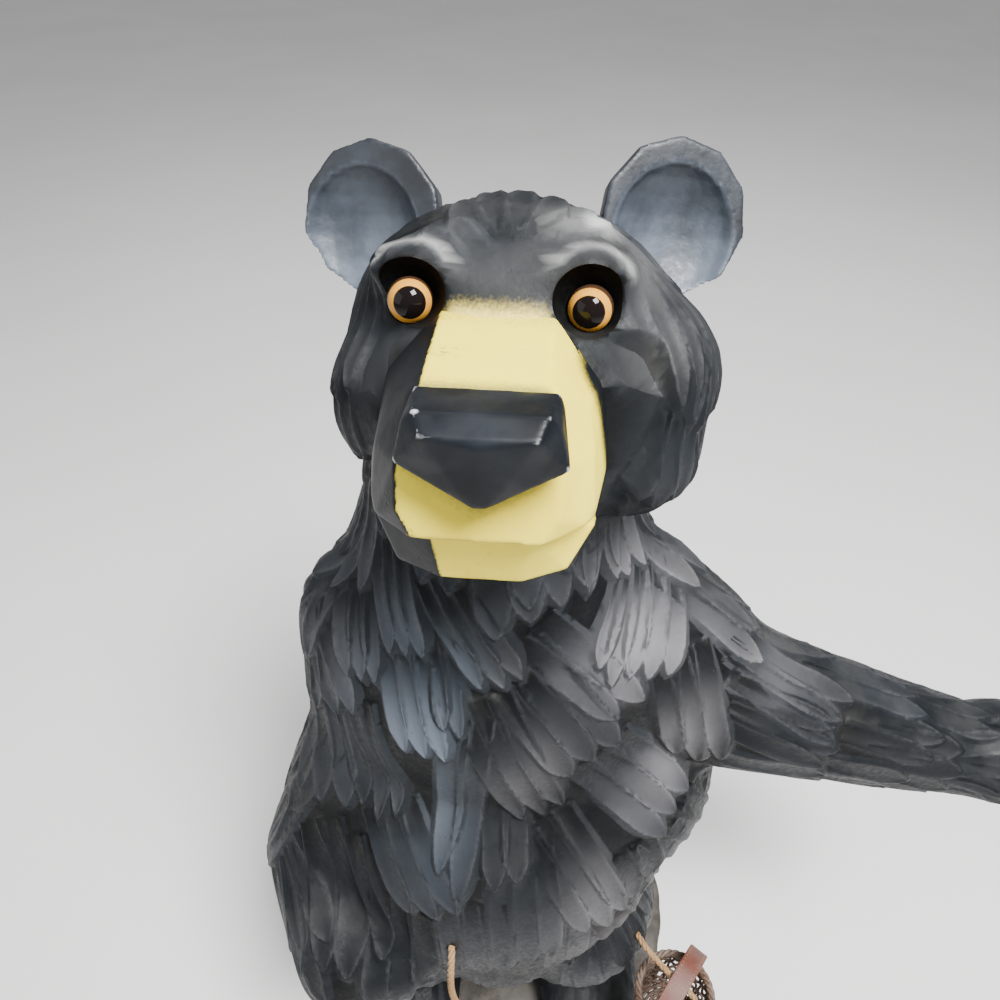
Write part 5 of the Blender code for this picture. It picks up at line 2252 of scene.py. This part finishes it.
@dataclass
class Studio:
    """Pale floor, soft lights and the camera.

    Attributes:
        lens: Focal length for a 36 mm sensor.
        place: Where the camera stands.
        pitch: How far it looks down.
    """

    lens: float = 27.036
    place: tuple[float, float, float] = (0.0, -0.242, 0.700)
    pitch: float = math.radians(42)

    def camera(self) -> None:
        """Set up the camera at the photograph's place."""
        data = bpy.data.cameras.new("camera")
        data.lens = self.lens
        data.sensor_width = 36.0
        data.clip_start = 0.01
        camera = bpy.data.objects.new("camera", data)
        bpy.context.scene.collection.objects.link(camera)
        camera.location = self.place
        camera.rotation_euler = (math.pi / 2 - self.pitch, 0.0, 0.0)
        bpy.context.scene.camera = camera

    def floor(self) -> None:
        """Set up the floor."""
        shape = bmesh.new()
        bmesh.ops.create_grid(shape, x_segments=2, y_segments=2, size=6.0,
                              matrix=Matrix.Translation((0.0, 0.0, -0.0005)))
        floor = new_object("studio_floor", shape)
        made, kit, shader = start_material("pale floor")
        cloud = kit.noise(kit.place(), 2.0, 2.0)
        kit.feed(kit.mix(kit.span(cloud, 0.3, 0.7), (0.84, 0.825, 0.815, 1.0),
                         (0.88, 0.865, 0.855, 1.0)), shader.inputs["Base Color"])
        shader.inputs["Roughness"].default_value = 0.7
        floor.data.materials.append(made)

    def lights(self) -> None:
        """Set up one broad key light, two fills and a pale world."""
        target = Vector((0.0, -0.02, 0.40))
        for name, place, size, power in (
                ("key", (0.45, -0.52, 1.70), 0.5, 66.0), ("fill", (-1.3, -0.6, 1.1), 1.2, 7.0),
                ("top", (0.3, 0.7, 1.9), 1.2, 13.0)):
            data = bpy.data.lights.new(name, "AREA")
            data.energy = power
            data.size = size
            light = bpy.data.objects.new(name, data)
            bpy.context.scene.collection.objects.link(light)
            light.location = place
            light.rotation_euler = (target - Vector(place)).to_track_quat("-Z", "Y").to_euler()
        world = bpy.data.worlds.new("pale room")
        bpy.context.scene.world = world
        world.use_nodes = True
        world.node_tree.nodes["Background"].inputs["Color"].default_value = (0.93, 0.94, 0.95, 1.0)
        world.node_tree.nodes["Background"].inputs["Strength"].default_value = 0.42


def report(piece: bpy.types.Object, slot: str, *nodes: str) -> None:
    """Ride a piece on the body, hide the nodes that it stands for, and log it with them.

    Args:
        piece: The finished piece.
        slot: A material slot's name, which is not used.
        nodes: CAD nodes that it replaces.
    """
    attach(piece, "root")
    if nodes:
        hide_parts(*nodes)
    LOG.info("%s: %d faces, stands for %s", piece.name, len(piece.data.polygons), nodes or "trim")


def main() -> None:
    """Build the scene and report each piece."""
    logging.basicConfig(level=logging.INFO, format="%(name)s: %(message)s")
    studio = Studio()
    studio.camera()
    effects = SharedEffects.build()
    jute = PlainFinish("jute fibre", (0.50, 0.31, 0.14, 1.0), (0.24, 0.13, 0.05, 1.0), 900.0, 0.85,
                       0.0006).build(effects)
    basket = Basket()
    handle = Handle(basket)
    twine = Twine(handle)
    report(twine.build(jute), "jute", "twine")
    bear = Bear(Fur(), {Dress.FUR: FurFinish().build(effects),
                        Dress.MUZZLE: MuzzleFinish().build(effects),
                        Dress.NOSE: NoseFinish().build(effects),
                        Dress.EAR: EarFinish().build(effects)})
    report(bear.build(twine.holes()), "resin_fur", "bear")
    domed = EyeFinish().build()
    for side, aim in ((Side.RIGHT, (36.0, -250.0, -26.0)), (Side.LEFT, (-36.0, -250.0, -44.0))):
        eye = Eye(side, bear.eye_centre(side), bear.eye_diameter, aim)
        report(eye.build(domed), "eye", f"eye_{side.name.lower()}")
    wicker = PlainFinish("brown wicker", (0.20, 0.115, 0.07, 1.0), (0.055, 0.03, 0.02, 1.0), 500.0,
                         0.6, 0.0004)
    leather = PlainFinish("red brown leather", (0.20, 0.050, 0.027, 1.0), (0.09, 0.020, 0.011, 1.0),
                          1400.0, 0.5, 0.0003)
    ground = PlainFinish("base resin", (0.075, 0.06, 0.045, 1.0), (0.02, 0.017, 0.014, 1.0), 160.0,
                         0.7, 0.0012)
    report(basket.build(wicker.build(effects)), "wicker", "basket")
    report(handle.build(leather.build(effects)), "handle_leather", "basket_handle")
    report(handle.stitches(jute), "jute")
    report(Base().build(ground.build(effects)), "base_resin", "base")
    studio.floor()
    studio.lights()


if __name__ == "__main__":
    main()
